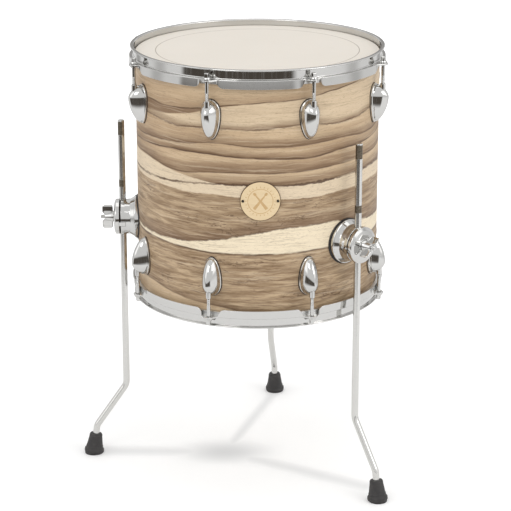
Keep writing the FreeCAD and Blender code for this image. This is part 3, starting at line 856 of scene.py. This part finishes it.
def lug_mesh():
    """Cast casing: egg-shaped rim on the shell, and a bulb that leans to the hoop."""
    rim = [(3.5, LUG_GASKET), (0.2, LUG_GASKET), (0.0, 1.1), (0.0, 2.5), (0.15, 3.0), (0.5, 3.4),
           (0.8, 3.6), (1.0, 3.8)]
    rings = [[Vector((SHELL_R + LUG_GASKET, 0, LUG_Z))]]
    rings += [egg_ring(inset, height) for inset, height in rim]
    for step in range(1, 22):
        share = math.sin(math.pi / 2 * step / 22)
        wide = (1 - share ** 1.6) ** 0.62
        rings.append(egg_ring(0, 4.0 + 19.0 * share, 13.5 * wide, 17.9 * wide, 36.8 * wide))
    rings.append([Vector((SHELL_R + 23.0, 0, LUG_Z))])
    seat = round_bar(4.12, LUG_Z + 4, LUG_Z + 40, centre=(ROD_CIRCLE_R, 0))
    return combined_mesh("lug_casing", loft(rings), [seat], CHROME, bevel=0.25)


def gasket_shape():
    """Thin rubber pad that shows as a dark line round the lug."""
    rings = [egg_ring(-0.7, 0.0), egg_ring(-0.7, 0.55), egg_ring(-0.5, 0.78), egg_ring(4.0, 0.78),
             egg_ring(4.0, 0.0)]
    return loft(rings, closed=True)


def nut_shape():
    """Swivel nut: round barrel with a rounded mouth, a flange inside the casing, and its bore."""
    low, bore = LUG_Z - 10.0, ROD_R + 0.06
    barrel, flange, top = 4.0, 4.9, low + 29.5
    return turned_at(rounded([(bore, low, 0.2), (barrel, low, 0.5), (barrel, LUG_Z + 0.5, 0.05),
                              (flange, LUG_Z + 0.5, 0.2), (flange, LUG_Z + 4.0, 0.2),
                              (barrel, LUG_Z + 4.0, 0.05), (barrel, top, 0.7), (bore, top, 0.35)]),
                     ROD_CIRCLE_R)


def washer_shape():
    low, bore, edge = TOP_Z + EAR_TOP, ROD_R + 0.11, 6.0
    return turned_at(rounded([(bore, low, 0.15), (edge, low, 0.35), (edge, WASHER_TOP, 0.45),
                              (bore, WASHER_TOP, 0.25)]), ROD_CIRCLE_R)


def add_set(name, shape, material, node):
    """One piece made of the same shape at every lug, upper and lower."""
    copies = [moved(shape, place(azimuth, lower))
              for lower in (False, True) for azimuth in LUG_AZIMUTHS]
    add_piece(name, build_mesh(name, joined(copies), material), "drum", [node])


def add_lugs_and_rods():
    lug = lug_mesh()
    rod = build_mesh("tension_rod", rod_shape(), CHROME)
    for end, lower in (("top", False), ("bottom", True)):
        for number, azimuth in enumerate(LUG_AZIMUTHS, 1):
            matrix = place(azimuth, lower)
            add_piece(f"{end}_lug_casing_{number}", lug, "drum",
                      [f"lug_{end}_{number}"], matrix)
            stand = matrix @ Matrix.Translation((ROD_CIRCLE_R, 0, 0))
            add_piece(f"{end}_key_rod_{number}", rod, f"{end}_rod_{number}",
                      [f"tension_rod_{end}_{number}"], stand)
    add_set("lug_pads", gasket_shape(), RUBBER, "lug_gaskets")
    add_set("swivel_nut_barrels", nut_shape(), CHROME, "swivel_nuts")
    add_set("key_rod_washers", washer_shape(), CHROME, "rod_washers")


# ---- badge and vent
def stick(point, turn):
    """How far a point on the badge is inside a drumstick that is turned from upright, in mm."""
    along = point[0] * math.sin(turn) + point[1] * math.cos(turn)
    across = abs(point[0] * math.cos(turn) - point[1] * math.sin(turn))
    if 10.4 < along < 15.4:
        tip = max(0.0, 1 - ((along - 12.7) / 2.7) ** 2)
        return 1.9 * math.sqrt(tip) - across
    if -14.5 < along <= 10.4:
        return 0.8 + 0.06 * (10.4 - along) - across
    return -1.0


def burnt_depth(point):
    """0 to 0.5 where the badge's motif is burnt in: crossed sticks inside two rings and ticks."""
    radius = math.hypot(*point)
    inside = max(stick(point, math.radians(38)), stick(point, math.radians(-38)))
    inside = max(inside, 0.42 - abs(radius - 17.6))
    if 19.2 < radius < 21.6:
        tick = (math.degrees(math.atan2(point[0], point[1])) + 360) % 15
        inside = max(inside, 0.42 - radius * math.radians(min(tick, 15 - tick)))
    return min(0.5, max(0.0, 0.5 * (inside + 0.2) / 0.3))


def add_badge():
    rings, burns = [], []
    levels = [(step * 0.3, BADGE_T) for step in range(1, 93)]
    levels += [(27.9, BADGE_T), (28.2, BADGE_T - 0.08), (28.42, BADGE_T - 0.25),
               (BADGE_R, BADGE_T - 0.5), (BADGE_R, 0.3), (BADGE_R - 0.1, 0.0), (20.0, 0.0)]
    rings.append([Vector((SHELL_R + BADGE_T, 0, MID_Z))])
    burns.append(0.5 if burnt_depth((0, 0)) else 0.0)
    for radius, height in levels:
        ring = []
        front = height == BADGE_T
        for angle in round_angles(288):
            y, z = radius * math.cos(angle), radius * math.sin(angle)
            burn = burnt_depth((y, z)) if front else 1.0
            burn = max(burn, min(1.0, max(0.0, (radius - 27.3) / 0.6)))
            cut = 0.22 * min(1.0, 2 * burn) if front and radius < 27 else 0.0
            ring.append(Vector((wrapped_x(SHELL_R, y) + height - cut, y, MID_Z + z)))
            burns.append(burn)
        rings.append(ring)
    rings.append([Vector((SHELL_R, 0, MID_Z))])
    burns.append(1.0)
    mesh = build_mesh("maple_badge", loft(rings), BADGE_WOOD)
    layer = mesh.attributes.new("burnt", "FLOAT", "POINT")
    layer.data.foreach_set("value", burns)
    add_piece("maple_badge", mesh, "drum", ["badge"], place(0))


def add_badge_pins():
    face = wrapped_x(SHELL_R + BADGE_T, BADGE_PIN_OFFSET - BADGE_PIN_R) + 0.03
    root = SHELL_R - 3
    outline = [(0, root), (0.85, root), (0.85, face - 0.05), (BADGE_PIN_R - 0.1, face)]
    outline += [(BADGE_PIN_R * math.cos(angle), face + BADGE_PIN_R * 0.8 * math.sin(angle))
                for angle in quarter_angles(8)]
    pin = turned_outwards(outline, MID_Z, 32)
    shape = joined([moved(pin, Matrix.Translation((0, side * BADGE_PIN_OFFSET, 0)))
                    for side in (-1, 1)])
    add_piece("badge_round_pins", build_mesh("badge_round_pins", shape, PINS), "drum",
              ["badge_pins"], place(0))


def add_vent():
    """Air hole eyelet, its outer flange bent to the shell."""
    bore, back, face = VENT_BORE_R, SHELL_R - SHELL_WALL, SHELL_R + 0.05
    outline = rounded([(bore, back - 1.8, 0.3), (bore + 4.0, back - 1.8, 0.4),
                       (bore + 4.0, back - 0.4, 0.3), (bore + 1.4, back - 0.4, 0.05),
                       (bore + 1.4, face, 0.05), (bore + 4.5, face, 0.1),
                       (bore + 4.3, SHELL_R + 0.9, 0.4), (bore, SHELL_R + 1.1, 0.6)])
    points, faces = turned_outwards(outline, MID_Z, 64, closed=True)
    for point in points:
        if point.x > SHELL_R:
            point.x += wrapped_x(SHELL_R, point.y) - SHELL_R
    add_piece("vent_eyelet", build_mesh("vent_eyelet", (points, faces), CHROME), "drum",
              ["vent_grommet"], place(VENT_AZIMUTH))


# ---- leg brackets
def disc_rings(outline, back_r, count=96):
    """Rings about an outward line at the bracket's height; a distance of None hugs a cylinder."""
    rings = []
    for radius, distance in outline:
        ring = []
        for angle in round_angles(count if radius else 1):
            y, z = radius * math.cos(angle), radius * math.sin(angle)
            x = wrapped_x(back_r, y) if distance is None else distance
            ring.append(Vector((x, y, BRACKET_Z + z)))
        rings.append(ring)
    return rings


def leg_channel():
    return round_bar(LEG_R + 0.35, BRACKET_Z - 45, BRACKET_Z + 45, 64, (LEG_CIRCLE_R, 0))


def tongue_ranges(inner, outer, slack=0.0):
    """Side ranges and height range of the cap's two tongues, or of their slots with some slack."""
    height = (BRACKET_Z - 8.0 - slack, BRACKET_Z - 2.0 + slack)
    return [(tuple(sorted((side * inner, side * outer))), height) for side in (-1, 1)]


def bracket_base_mesh():
    """Housing: wide flange on the shell, a waist, a grooved drum, the channel and two slots."""
    flange, edge, ahead = 32.2, SHELL_R + 5.2, BRACKET_FACE + 3
    front = rounded([(flange, SHELL_R, 0), (flange, edge, 1.5), (30.6, edge, 0.5),
                     (26.6, SHELL_R + 11.0, 3.5), (BRACKET_BODY_R, BRACKET_FACE - 6, 0.5),
                     (BRACKET_BODY_R, BRACKET_FACE, 0.8), (0, BRACKET_FACE, 0)], 6)[1:-1]
    outline = [(0, None), (16, None), (31.6, None), (flange, SHELL_R + 2.4)] + front
    outline += [(0, BRACKET_FACE)]
    cutters = [leg_channel(),
               box_shape((SHELL_R + 8, ahead), (-10.6, 10.6), (BRACKET_Z - 5.2, BRACKET_Z + 5.2))]
    cutters += [box_shape((195.5, ahead), sides, heights)
                for sides, heights in tongue_ranges(18.0, 30.0, 0.3)]
    body = loft(disc_rings(outline, SHELL_R + 1.6))
    return combined_mesh("bracket_housing", body, cutters, CHROME, bevel=0.5)


def tongue_shape(sides, heights):
    """Key on the cap's back, its outer side following the rim."""
    rim = BRACKET_BODY_R - 0.3
    rings = []
    for x in (196.0, CAP_INNER + 1.0):
        ring = []
        for z in (heights[0], heights[1]):
            reach = math.sqrt(rim ** 2 - (z - BRACKET_Z) ** 2)
            outer = max(-reach, min(reach, sides[0] if sides[0] < 0 else sides[1]))
            inner = sides[1] if sides[0] < 0 else sides[0]
            pair = [Vector((x, inner, z)), Vector((x, outer, z))]
            ring += pair if z == heights[0] else pair[::-1]
        rings.append(ring)
    return loft(rings)


def bracket_cap_shape():
    """Outer jaw: a thick disc with a crowned face and a small step round the wing nut's seat."""
    r = BRACKET_BODY_R + 0.5
    outline = rounded([(0, CAP_INNER, 0), (r, CAP_INNER, 0.5), (r, CAP_OUTER - 2.6, 1.8),
                       (r - 4.6, CAP_OUTER - 0.5, 3.0), (11.4, CAP_OUTER - 0.05, 0.3),
                       (10.6, CAP_OUTER - 0.6, 0.3), (9.6, CAP_OUTER - 0.6, 0.2),
                       (9.2, CAP_OUTER, 0.2), (0, CAP_OUTER, 0)], 6)
    return turned_outwards(outline, BRACKET_Z, 128)


def bracket_cap_mesh():
    bore = BOLT_R + 0.2
    hole = turned_outwards([(0, 190), (bore, 190), (bore, 230), (0, 230)], BRACKET_Z, 32)
    jaw = combined_mesh("bracket_jaw", bracket_cap_shape(), [leg_channel(), hole], CHROME,
                        bevel=0.4)
    tongues = joined([tongue_shape(*ranges) for ranges in tongue_ranges(18.4, 26.4)])
    return merged_mesh("bracket_jaw", (jaw, build_mesh("tongues", tongues, CHROME)), CHROME)


def eye_bolt_shape():
    """Eye round the leg, flattened behind the cap, and a threaded shank out through it."""
    bore, rim, low, high = LEG_R + 0.06, 9.8, BRACKET_Z - 4.5, BRACKET_Z + 4.5
    eye = turned(rounded([(bore, low, 0.4), (rim, low, 0.8), (rim, high, 0.8), (bore, high, 0.4)]),
                 64, closed=True)
    eye = moved(eye, Matrix.Translation((LEG_CIRCLE_R, 0, 0)))
    for point in eye[0]:
        point.x = min(point.x, CAP_INNER - 0.2)
    rings = [circle(BOLT_R, LEG_CIRCLE_R + bore - 0.2, 32)]
    rings += threaded_rings(BOLT_R, CAP_OUTER - 2, BOLT_END - 0.6)
    rings += [circle(BOLT_R - 0.2, BOLT_END - 0.45, 32), circle(BOLT_R - 0.7, BOLT_END, 32)]
    shank = moved(loft(rings), Matrix.Translation((0, 0, BRACKET_Z)) @ LYING)
    return joined([eye, shank])


def wing_nut_mesh():
    """Cast wing nut drawn about an outward line at height 0: a bossed hub and two paddles."""
    foot, hub_end = CAP_OUTER + 0.1, WING_OUTER - 4.0
    hub = rounded([(0, foot, 0), (7.8, foot, 0.4), (8.2, foot + 2.0, 0.8), (7.2, foot + 4.4, 1.6),
                   (5.4, hub_end, 0.9), (0, hub_end, 0)], 6)
    stations = [(0.0, 4.0), (3.0, 3.9), (5.0, 3.0), (7.0, 2.2), (10.0, 1.75),
                (PADDLE_LENGTH, PADDLE_HALF_T)]
    stations += [(PADDLE_LENGTH + PADDLE_TIP * math.sin(angle),
                  PADDLE_HALF_T * math.cos(angle) ** 0.7 + 0.02) for angle in quarter_angles(9, 1)]
    rings = []
    for z, half_t in stations:
        inner = foot + 1.0 + 0.05 * z
        outer = min(WING_OUTER, WING_OUTER - 4.6 + 1.05 * max(0.0, z - 2.6))
        past = max(0.0, z - PADDLE_LENGTH) / PADDLE_TIP
        shrink = 2.6 * (1 - math.sqrt(max(0.0, 1 - past ** 2)))
        middle, half = (inner + outer) / 2, (outer - inner) / 2 - shrink
        ring = []
        for angle in round_angles(48):
            across, along = math.cos(angle), math.sin(angle)
            x = middle + half * math.copysign(abs(across) ** 0.4, across)
            ring.append(Vector((x, half_t * math.copysign(abs(along) ** 0.7, along), z)))
        rings.append(ring)
    paddle = loft(rings)
    paddles = [moved(paddle, Matrix.Rotation(side, 4, "X")) for side in (0, math.pi)]
    return combined_mesh("wing_nut", turned_outwards(hub, 0, 64), paddles, CHROME,
                         operation="UNION")


def add_brackets():
    places = [place(LEG_AZIMUTHS[name]) for name in LEG_NAMES]
    sets = (("bracket_housings", bracket_base_mesh(), "bracket_bases"),
            ("bracket_jaws", bracket_cap_mesh(), "bracket_caps"),
            ("leg_eye_bolts", build_mesh("leg_eye_bolts", eye_bolt_shape(), CHROME), "eye_bolts"))
    for name, mesh, node in sets:
        whole = merged_mesh(name, [placed(mesh, matrix) for matrix in places], CHROME)
        add_piece(name, whole, "drum", [node])
    nut = wing_nut_mesh()
    for name in LEG_NAMES:
        turn = Matrix.Rotation(math.radians(WING_TURNS[name]), 4, "X")
        matrix = place(LEG_AZIMUTHS[name]) @ Matrix.Translation((0, 0, BRACKET_Z)) @ turn
        add_piece(f"{name}_cast_wing_nut", nut, f"wing_{name}", [f"wing_nut_{name}"],
                  matrix)


# ---- legs and feet
KNEE_1 = (0.0, 113.4)
KNEE_2 = (46.9, 45.1)
FOOT_POINT = (52.8, 0.0)
BEND_R = (24.0, 18.0)
GRIP_BANDS = ((2.0, 22.0), (90.0, 101.0))
GRIP_HALF_TURN = math.radians(115)


def foot_line():
    """Where the leg's axis meets the floor, and the unit vector up its last run."""
    ground = Vector((FOOT_POINT[0], 0, FOOT_POINT[1]))
    return ground, (Vector((KNEE_2[0], 0, KNEE_2[1])) - ground).normalized()


def leg_path():
    """Points and directions down the leg's centreline, from its top to inside the rubber foot."""
    ground, rise = foot_line()
    corners = [Vector((0, 0, LEG_TOP)), Vector((KNEE_1[0], 0, KNEE_1[1])),
               Vector((KNEE_2[0], 0, KNEE_2[1])), ground + rise * 8.0]
    path = []
    for index, radius in enumerate(BEND_R, 1):
        back = (corners[index - 1] - corners[index]).normalized()
        ahead = (corners[index + 1] - corners[index]).normalized()
        half = back.angle(ahead) / 2
        inward = (back + ahead).normalized()
        centre = corners[index] + inward * (radius / math.sin(half))
        reach = radius / math.tan(half)
        first, last = corners[index] + back * reach, corners[index] + ahead * reach
        out, onwards = (first - centre).normalized(), (last - centre).normalized()
        for step in range(13):
            share = step / 12
            path.append((centre + out.slerp(onwards, share) * radius, (-back).slerp(ahead, share)))
    path.append((corners[-1], -rise))
    return path


def leg_mesh():
    """Chrome rod with a rounded top, and two knurled patches with painted dark reflection on the
    side that faces outwards.
    """
    count = 72
    levels = [(LEG_R - 0.9 * (1 - math.sin(angle)), 0.9 * (1 - math.cos(angle)))
              for angle in quarter_angles(5)]
    for start, end in GRIP_BANDS:
        levels += [(LEG_R, start - 0.3)]
        levels += [(LEG_R - 0.02, start + (end - start) * step / 40) for step in range(41)]
        levels += [(LEG_R, end + 0.3)]
    levels += [(LEG_R, LEG_TOP - 300), (LEG_R, LEG_TOP - 250)]
    rings = []
    for radius, down in sorted(levels, key=lambda level: level[1]):
        ring = []
        grip = any(start <= down <= end for start, end in GRIP_BANDS)
        for step in range(count):
            angle = 2 * math.pi * step / count - math.pi
            r = radius
            if grip and abs(angle) < GRIP_HALF_TURN:
                diamonds = math.sin(12 * angle + down * 2.6) * math.sin(12 * angle - down * 2.6)
                r = LEG_R - 0.1 + 0.06 * diamonds
            ring.append(Vector((r * math.cos(angle), r * math.sin(angle), LEG_TOP - down)))
        rings.append(ring)
    for centre, direction in leg_path():
        inward = Vector((0, 1, 0)).cross(direction)
        ring = []
        for step in range(count):
            angle = 2 * math.pi * step / count - math.pi
            sideways = Vector((0, LEG_R * math.sin(angle), 0))
            ring.append(centre - inward * (LEG_R * math.cos(angle)) + sideways)
        rings.append(ring)
    mesh = build_mesh("leg_rod", loft(rings), LEG_CHROME, KNURL_PAINTED_DARK)
    for face in mesh.polygons:
        down = LEG_TOP - face.center.z / MM
        turn = abs(math.atan2(face.center.y, face.center.x))
        if any(start < down < end for start, end in GRIP_BANDS) and turn < GRIP_HALF_TURN:
            face.material_index = 1
    return mesh


def rubber_foot_mesh():
    """Moulded cup with a rolled tread, ribs and a lip round the leg, flat where it stands."""
    ground, rise = foot_line()
    bore = LEG_R + 0.02
    outline = rounded([(0, -3.0, 0), (13.4, -3.0, 0.8), (14.3, 1.4, 1.5), (15.0, 3.0, 0.6),
                       (15.0, 6.3, 1.2), (13.3, 8.8, 0.8), (12.9, 10.4, 0.5), (12.9, 11.8, 0.5),
                       (12.2, 13.0, 0.6), (9.9, 27.5, 0.8), (10.0, 29.2, 0.4), (9.0, 31.8, 0.9),
                       (bore, 31.8, 0.3), (bore, 9.0, 0.5), (0, 9.0, 0)])
    lean = Vector((0, 0, 1)).rotation_difference(rise).to_matrix().to_4x4()
    points, faces = moved(turned(outline, 96), Matrix.Translation(ground) @ lean)
    for point in points:
        point.z = max(0.0, point.z)
    return build_mesh("moulded_foot", (points, faces), RUBBER)


def add_legs():
    leg, foot = leg_mesh(), rubber_foot_mesh()
    for name in LEG_NAMES:
        swing = Matrix.Rotation(math.radians(LEG_SWINGS[name]), 4, "Z")
        matrix = place(LEG_AZIMUTHS[name]) @ Matrix.Translation((LEG_CIRCLE_R, 0, 0)) @ swing
        add_piece(f"{name}_leg_rod", placed(leg, matrix), f"leg_{name}", [f"leg_{name}"])
        add_piece(f"{name}_moulded_foot", placed(foot, matrix), f"leg_{name}",
                  [f"rubber_foot_{name}"])


# ---- pieces kept from the frame
def dress_kept_nodes():
    """Rings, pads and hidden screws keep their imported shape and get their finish."""
    finishes = {"top_flesh_ring": ALUMINIUM, "bottom_flesh_ring": ALUMINIUM, "lug_screws": STEEL,
                "bracket_screws": STEEL, "bracket_gaskets": RUBBER}
    for node, material in finishes.items():
        mesh = frame["nodes"][node].data
        mesh.materials.clear()
        mesh.materials.append(material)


# ---- studio
WHITE = (1.0, 1.0, 1.0, 1.0)
WORLD_LEVEL = 0.86
FLOOR_HALF = 14000.0
FLOOR_LIFT = (0.11, 0.45)       # how much the floor is washed out in view, near and far off
# Cards that the chrome reflects: azimuth from the drum's front, half width and softness in
# degrees, the lowest and highest slope to the card, and how dark it is (below 0: a bright card).
CARDS = ((-20, 51, 7, -0.36, -0.04, 0.97), (-72, 15, 12, 0.1, 0.7, -0.8),
         (70, 15, 12, 0.1, 0.7, -0.8), (93, 7, 12, -0.3, 0.4, 0.3), (-99, 7, 12, -0.3, 0.4, 0.3),
         (145, 6, 8, -0.3, 0.5, 0.5), (-140, 6, 8, -0.3, 0.5, 0.5), (180, 12, 10, -0.25, 0.3, 0.6))
CARD_COLOUR = (0.075, 0.060, 0.045, 1.0)
CARD_EYE_Z = 0.45
# Soft shadows on the floor, in metres from the drum's axis: where they meet, how far that patch
# reaches, and for each streak its far end and half width.
SHADOW_MEET, SHADOW_REACH = (-0.050, -0.004), (0.105, 0.066)
SHADOW_STREAKS = ((-0.236, 0.004, 0.030), (0.032, 0.236, 0.016), (0.158, -0.137, 0.028))
SHADOW_GREY = (0.5, 0.5, 0.5, 1.0)


def studio_cards():
    """Node group that turns a direction from the drum into how bright the studio is there."""
    group = bpy.data.node_groups.new("studio_cards", "ShaderNodeTree")
    group.interface.new_socket(name="Direction", in_out="INPUT", socket_type="NodeSocketVector")
    group.interface.new_socket(name="Brightness", in_out="OUTPUT", socket_type="NodeSocketFloat")
    g = Nodes(group)
    x, y, z = g.parts(g.new("NodeGroupInput").outputs[0])
    azimuth = g.maths("ARCTAN2", x, g.times(y, -1.0))
    brightness = 1.0
    for middle, half, soft, low, high, strength in CARDS:
        turn = g.minus(azimuth, math.radians(middle))
        apart = g.maths("ARCCOSINE", g.maths("COSINE", turn))
        edges = math.radians(half - soft / 2), math.radians(half + soft / 2)
        across = g.smooth(apart, *edges, strength, 0.0)
        along = g.times(g.smooth(z, low - 0.07, low + 0.07),
                        g.smooth(z, high - 0.06, high + 0.06, 1.0, 0.0))
        keep = g.minus(1.0, g.times(across, along))
        brightness = g.times(brightness, keep)
    folds = g.noise(g.vector(g.times(azimuth, 45.0), 0.5, 0.5), 1.0, 3.0, 0.6)
    brightness = g.maths("MAXIMUM", brightness, g.smooth(folds, 0.5, 0.72, 0.0, 0.26))
    g.fill(g.new("NodeGroupOutput").inputs[0], brightness)
    return group


def add_world(cards):
    """Even white studio; what isn't seen directly also has the dark cards."""
    world = bpy.data.worlds.new("studio")
    bpy.context.scene.world = world
    world.use_nodes = True
    world.node_tree.nodes.clear()
    g = Nodes(world.node_tree)
    brightness = g.look_up(cards, g.new("ShaderNodeTexCoord").outputs["Generated"])
    around, seen = g.new("ShaderNodeBackground"), g.new("ShaderNodeBackground")
    seen.inputs["Color"].default_value = WHITE
    g.fill(around.inputs["Color"], g.mix(brightness, CARD_COLOUR, WHITE))
    g.fill(around.inputs["Strength"], g.times(g.maths("MAXIMUM", brightness, 1.0), WORLD_LEVEL))
    in_view = g.new("ShaderNodeLightPath").outputs["Is Camera Ray"]
    g.fill(g.new("ShaderNodeOutputWorld").inputs[0],
           g.mix_shaders(in_view, around.outputs[0], seen.outputs[0]))


def floor_shadow(g, x, y):
    """How far the floor is in shadow: a streak from each foot, and the patch where they meet."""
    from_x, from_y = (g.minus(value, middle) for value, middle in zip((x, y), SHADOW_MEET))
    patch = g.length(g.maths("DIVIDE", from_x, SHADOW_REACH[0]),
                     g.maths("DIVIDE", from_y, SHADOW_REACH[1]))
    shadow = g.smooth(patch, 0.0, 1.0, 0.62, 0.0)
    for end_x, end_y, half in SHADOW_STREAKS:
        run_x, run_y = end_x - SHADOW_MEET[0], end_y - SHADOW_MEET[1]
        square = run_x * run_x + run_y * run_y
        share = g.plus(g.times(from_x, run_x / square), g.times(from_y, run_y / square), clamp=True)
        off = g.length(g.minus(from_x, g.times(share, run_x)),
                       g.minus(from_y, g.times(share, run_y)))
        shadow = g.maths("MAXIMUM", shadow, g.smooth(off, 0.0, half, 0.36, 0.0))
    return shadow


def add_floor(cards):
    """Pale studio floor. Chrome also finds the dark cards in it, and it has its own shadows."""
    corners = [Vector((x * FLOOR_HALF, y * FLOOR_HALF, 0))
               for x, y in ((-1, -1), (1, -1), (1, 1), (-1, 1))]
    mesh = build_mesh("studio_floor", (corners, [[0, 1, 2, 3]]))
    floor = bpy.data.objects.new("studio_floor", mesh)
    bpy.context.scene.collection.objects.link(floor)
    floor.location = drum_centred().translation * MM
    g = Graph("studio_floor")
    grain = g.noise(g.coordinates, 30.0, 3.0)
    ray = g.new("ShaderNodeLightPath").outputs
    x, y, _ = g.parts(g.coordinates)
    lift = g.smooth(g.length(x, y), 0.25, 1.1, *FLOOR_LIFT)
    material = g.set(Base_Color=g.mix(grain, (0.92, 0.92, 0.92, 1), (0.95, 0.95, 0.95, 1)),
                     Roughness=0.7, Specular_IOR_Level=0.1, Emission_Color=WHITE,
                     Emission_Strength=g.times(ray["Is Camera Ray"], lift))
    away = g.new("ShaderNodeVectorMath")
    away.operation = "NORMALIZE"
    g.fill(away.inputs[0], g.vector(x, y, -CARD_EYE_Z))
    hidden = g.minus(1.0, g.look_up(cards, away.outputs[0]))
    surface = g.mix_shaders(g.times(ray["Is Glossy Ray"], hidden), g.shader.outputs[0],
                            g.emission(CARD_COLOUR, WORLD_LEVEL))
    surface = g.mix_shaders(g.times(ray["Is Camera Ray"], floor_shadow(g, x, y)), surface,
                            g.emission(SHADOW_GREY))
    g.fill(g.tree.nodes["Material Output"].inputs["Surface"], surface)
    floor.data.materials.append(material)


def aim(thing, position, target):
    """Place a light or camera in metres from the drum's axis, pointing at a target."""
    origin = Vector((DRUM_AXIS.x, DRUM_AXIS.y, 0)) * MM
    thing.location = origin + Vector(position)
    thing.rotation_euler = (Vector(target) - Vector(position)).to_track_quat("-Z", "Y").to_euler()


# Name, place in metres from the drum's axis, width in metres and power in watts.
LAMPS = (("key", (-1.5, -2.4, 2.4), 1.2, 14), ("fill", (2.2, -1.8, 1.9), 1.2, 12),
         ("top", (0.3, 0.4, 2.9), 2.0, 9))
LAMP_TARGET = (0, 0, 0.45)
CAMERA_PLACE, CAMERA_LOOK = (-0.0642, -2.7873, 1.2190), (0.0219, 0.9513, -0.3075)
CAMERA_LENS, CAMERA_SENSOR, CAMERA_SHIFT_X, CAMERA_CLIP = 137.34, 36.0, -0.00379, 60.0


def add_lights():
    for name, position, size, power in LAMPS:
        light = bpy.data.lights.new(name, "AREA")
        light.size, light.energy = size, power
        lamp = bpy.data.objects.new(name, light)
        bpy.context.scene.collection.objects.link(lamp)
        aim(lamp, position, LAMP_TARGET)


def add_camera():
    """Long lens, a little above the drum and hardly off its front."""
    data = bpy.data.cameras.new("camera")
    camera = bpy.data.objects.new("camera", data)
    bpy.context.scene.collection.objects.link(camera)
    aim(camera, CAMERA_PLACE, Vector(CAMERA_PLACE) + Vector(CAMERA_LOOK))
    data.lens, data.sensor_width = CAMERA_LENS, CAMERA_SENSOR
    data.shift_x, data.clip_end = CAMERA_SHIFT_X, CAMERA_CLIP
    bpy.context.scene.camera = camera


add_shell()
add_heads_and_hoops()
add_lugs_and_rods()
add_badge()
add_badge_pins()
add_vent()
add_brackets()
add_legs()
dress_kept_nodes()
studio = studio_cards()
add_world(studio)
add_floor(studio)
add_lights()
add_camera()
bpy.context.scene.view_settings.view_transform = "Standard"
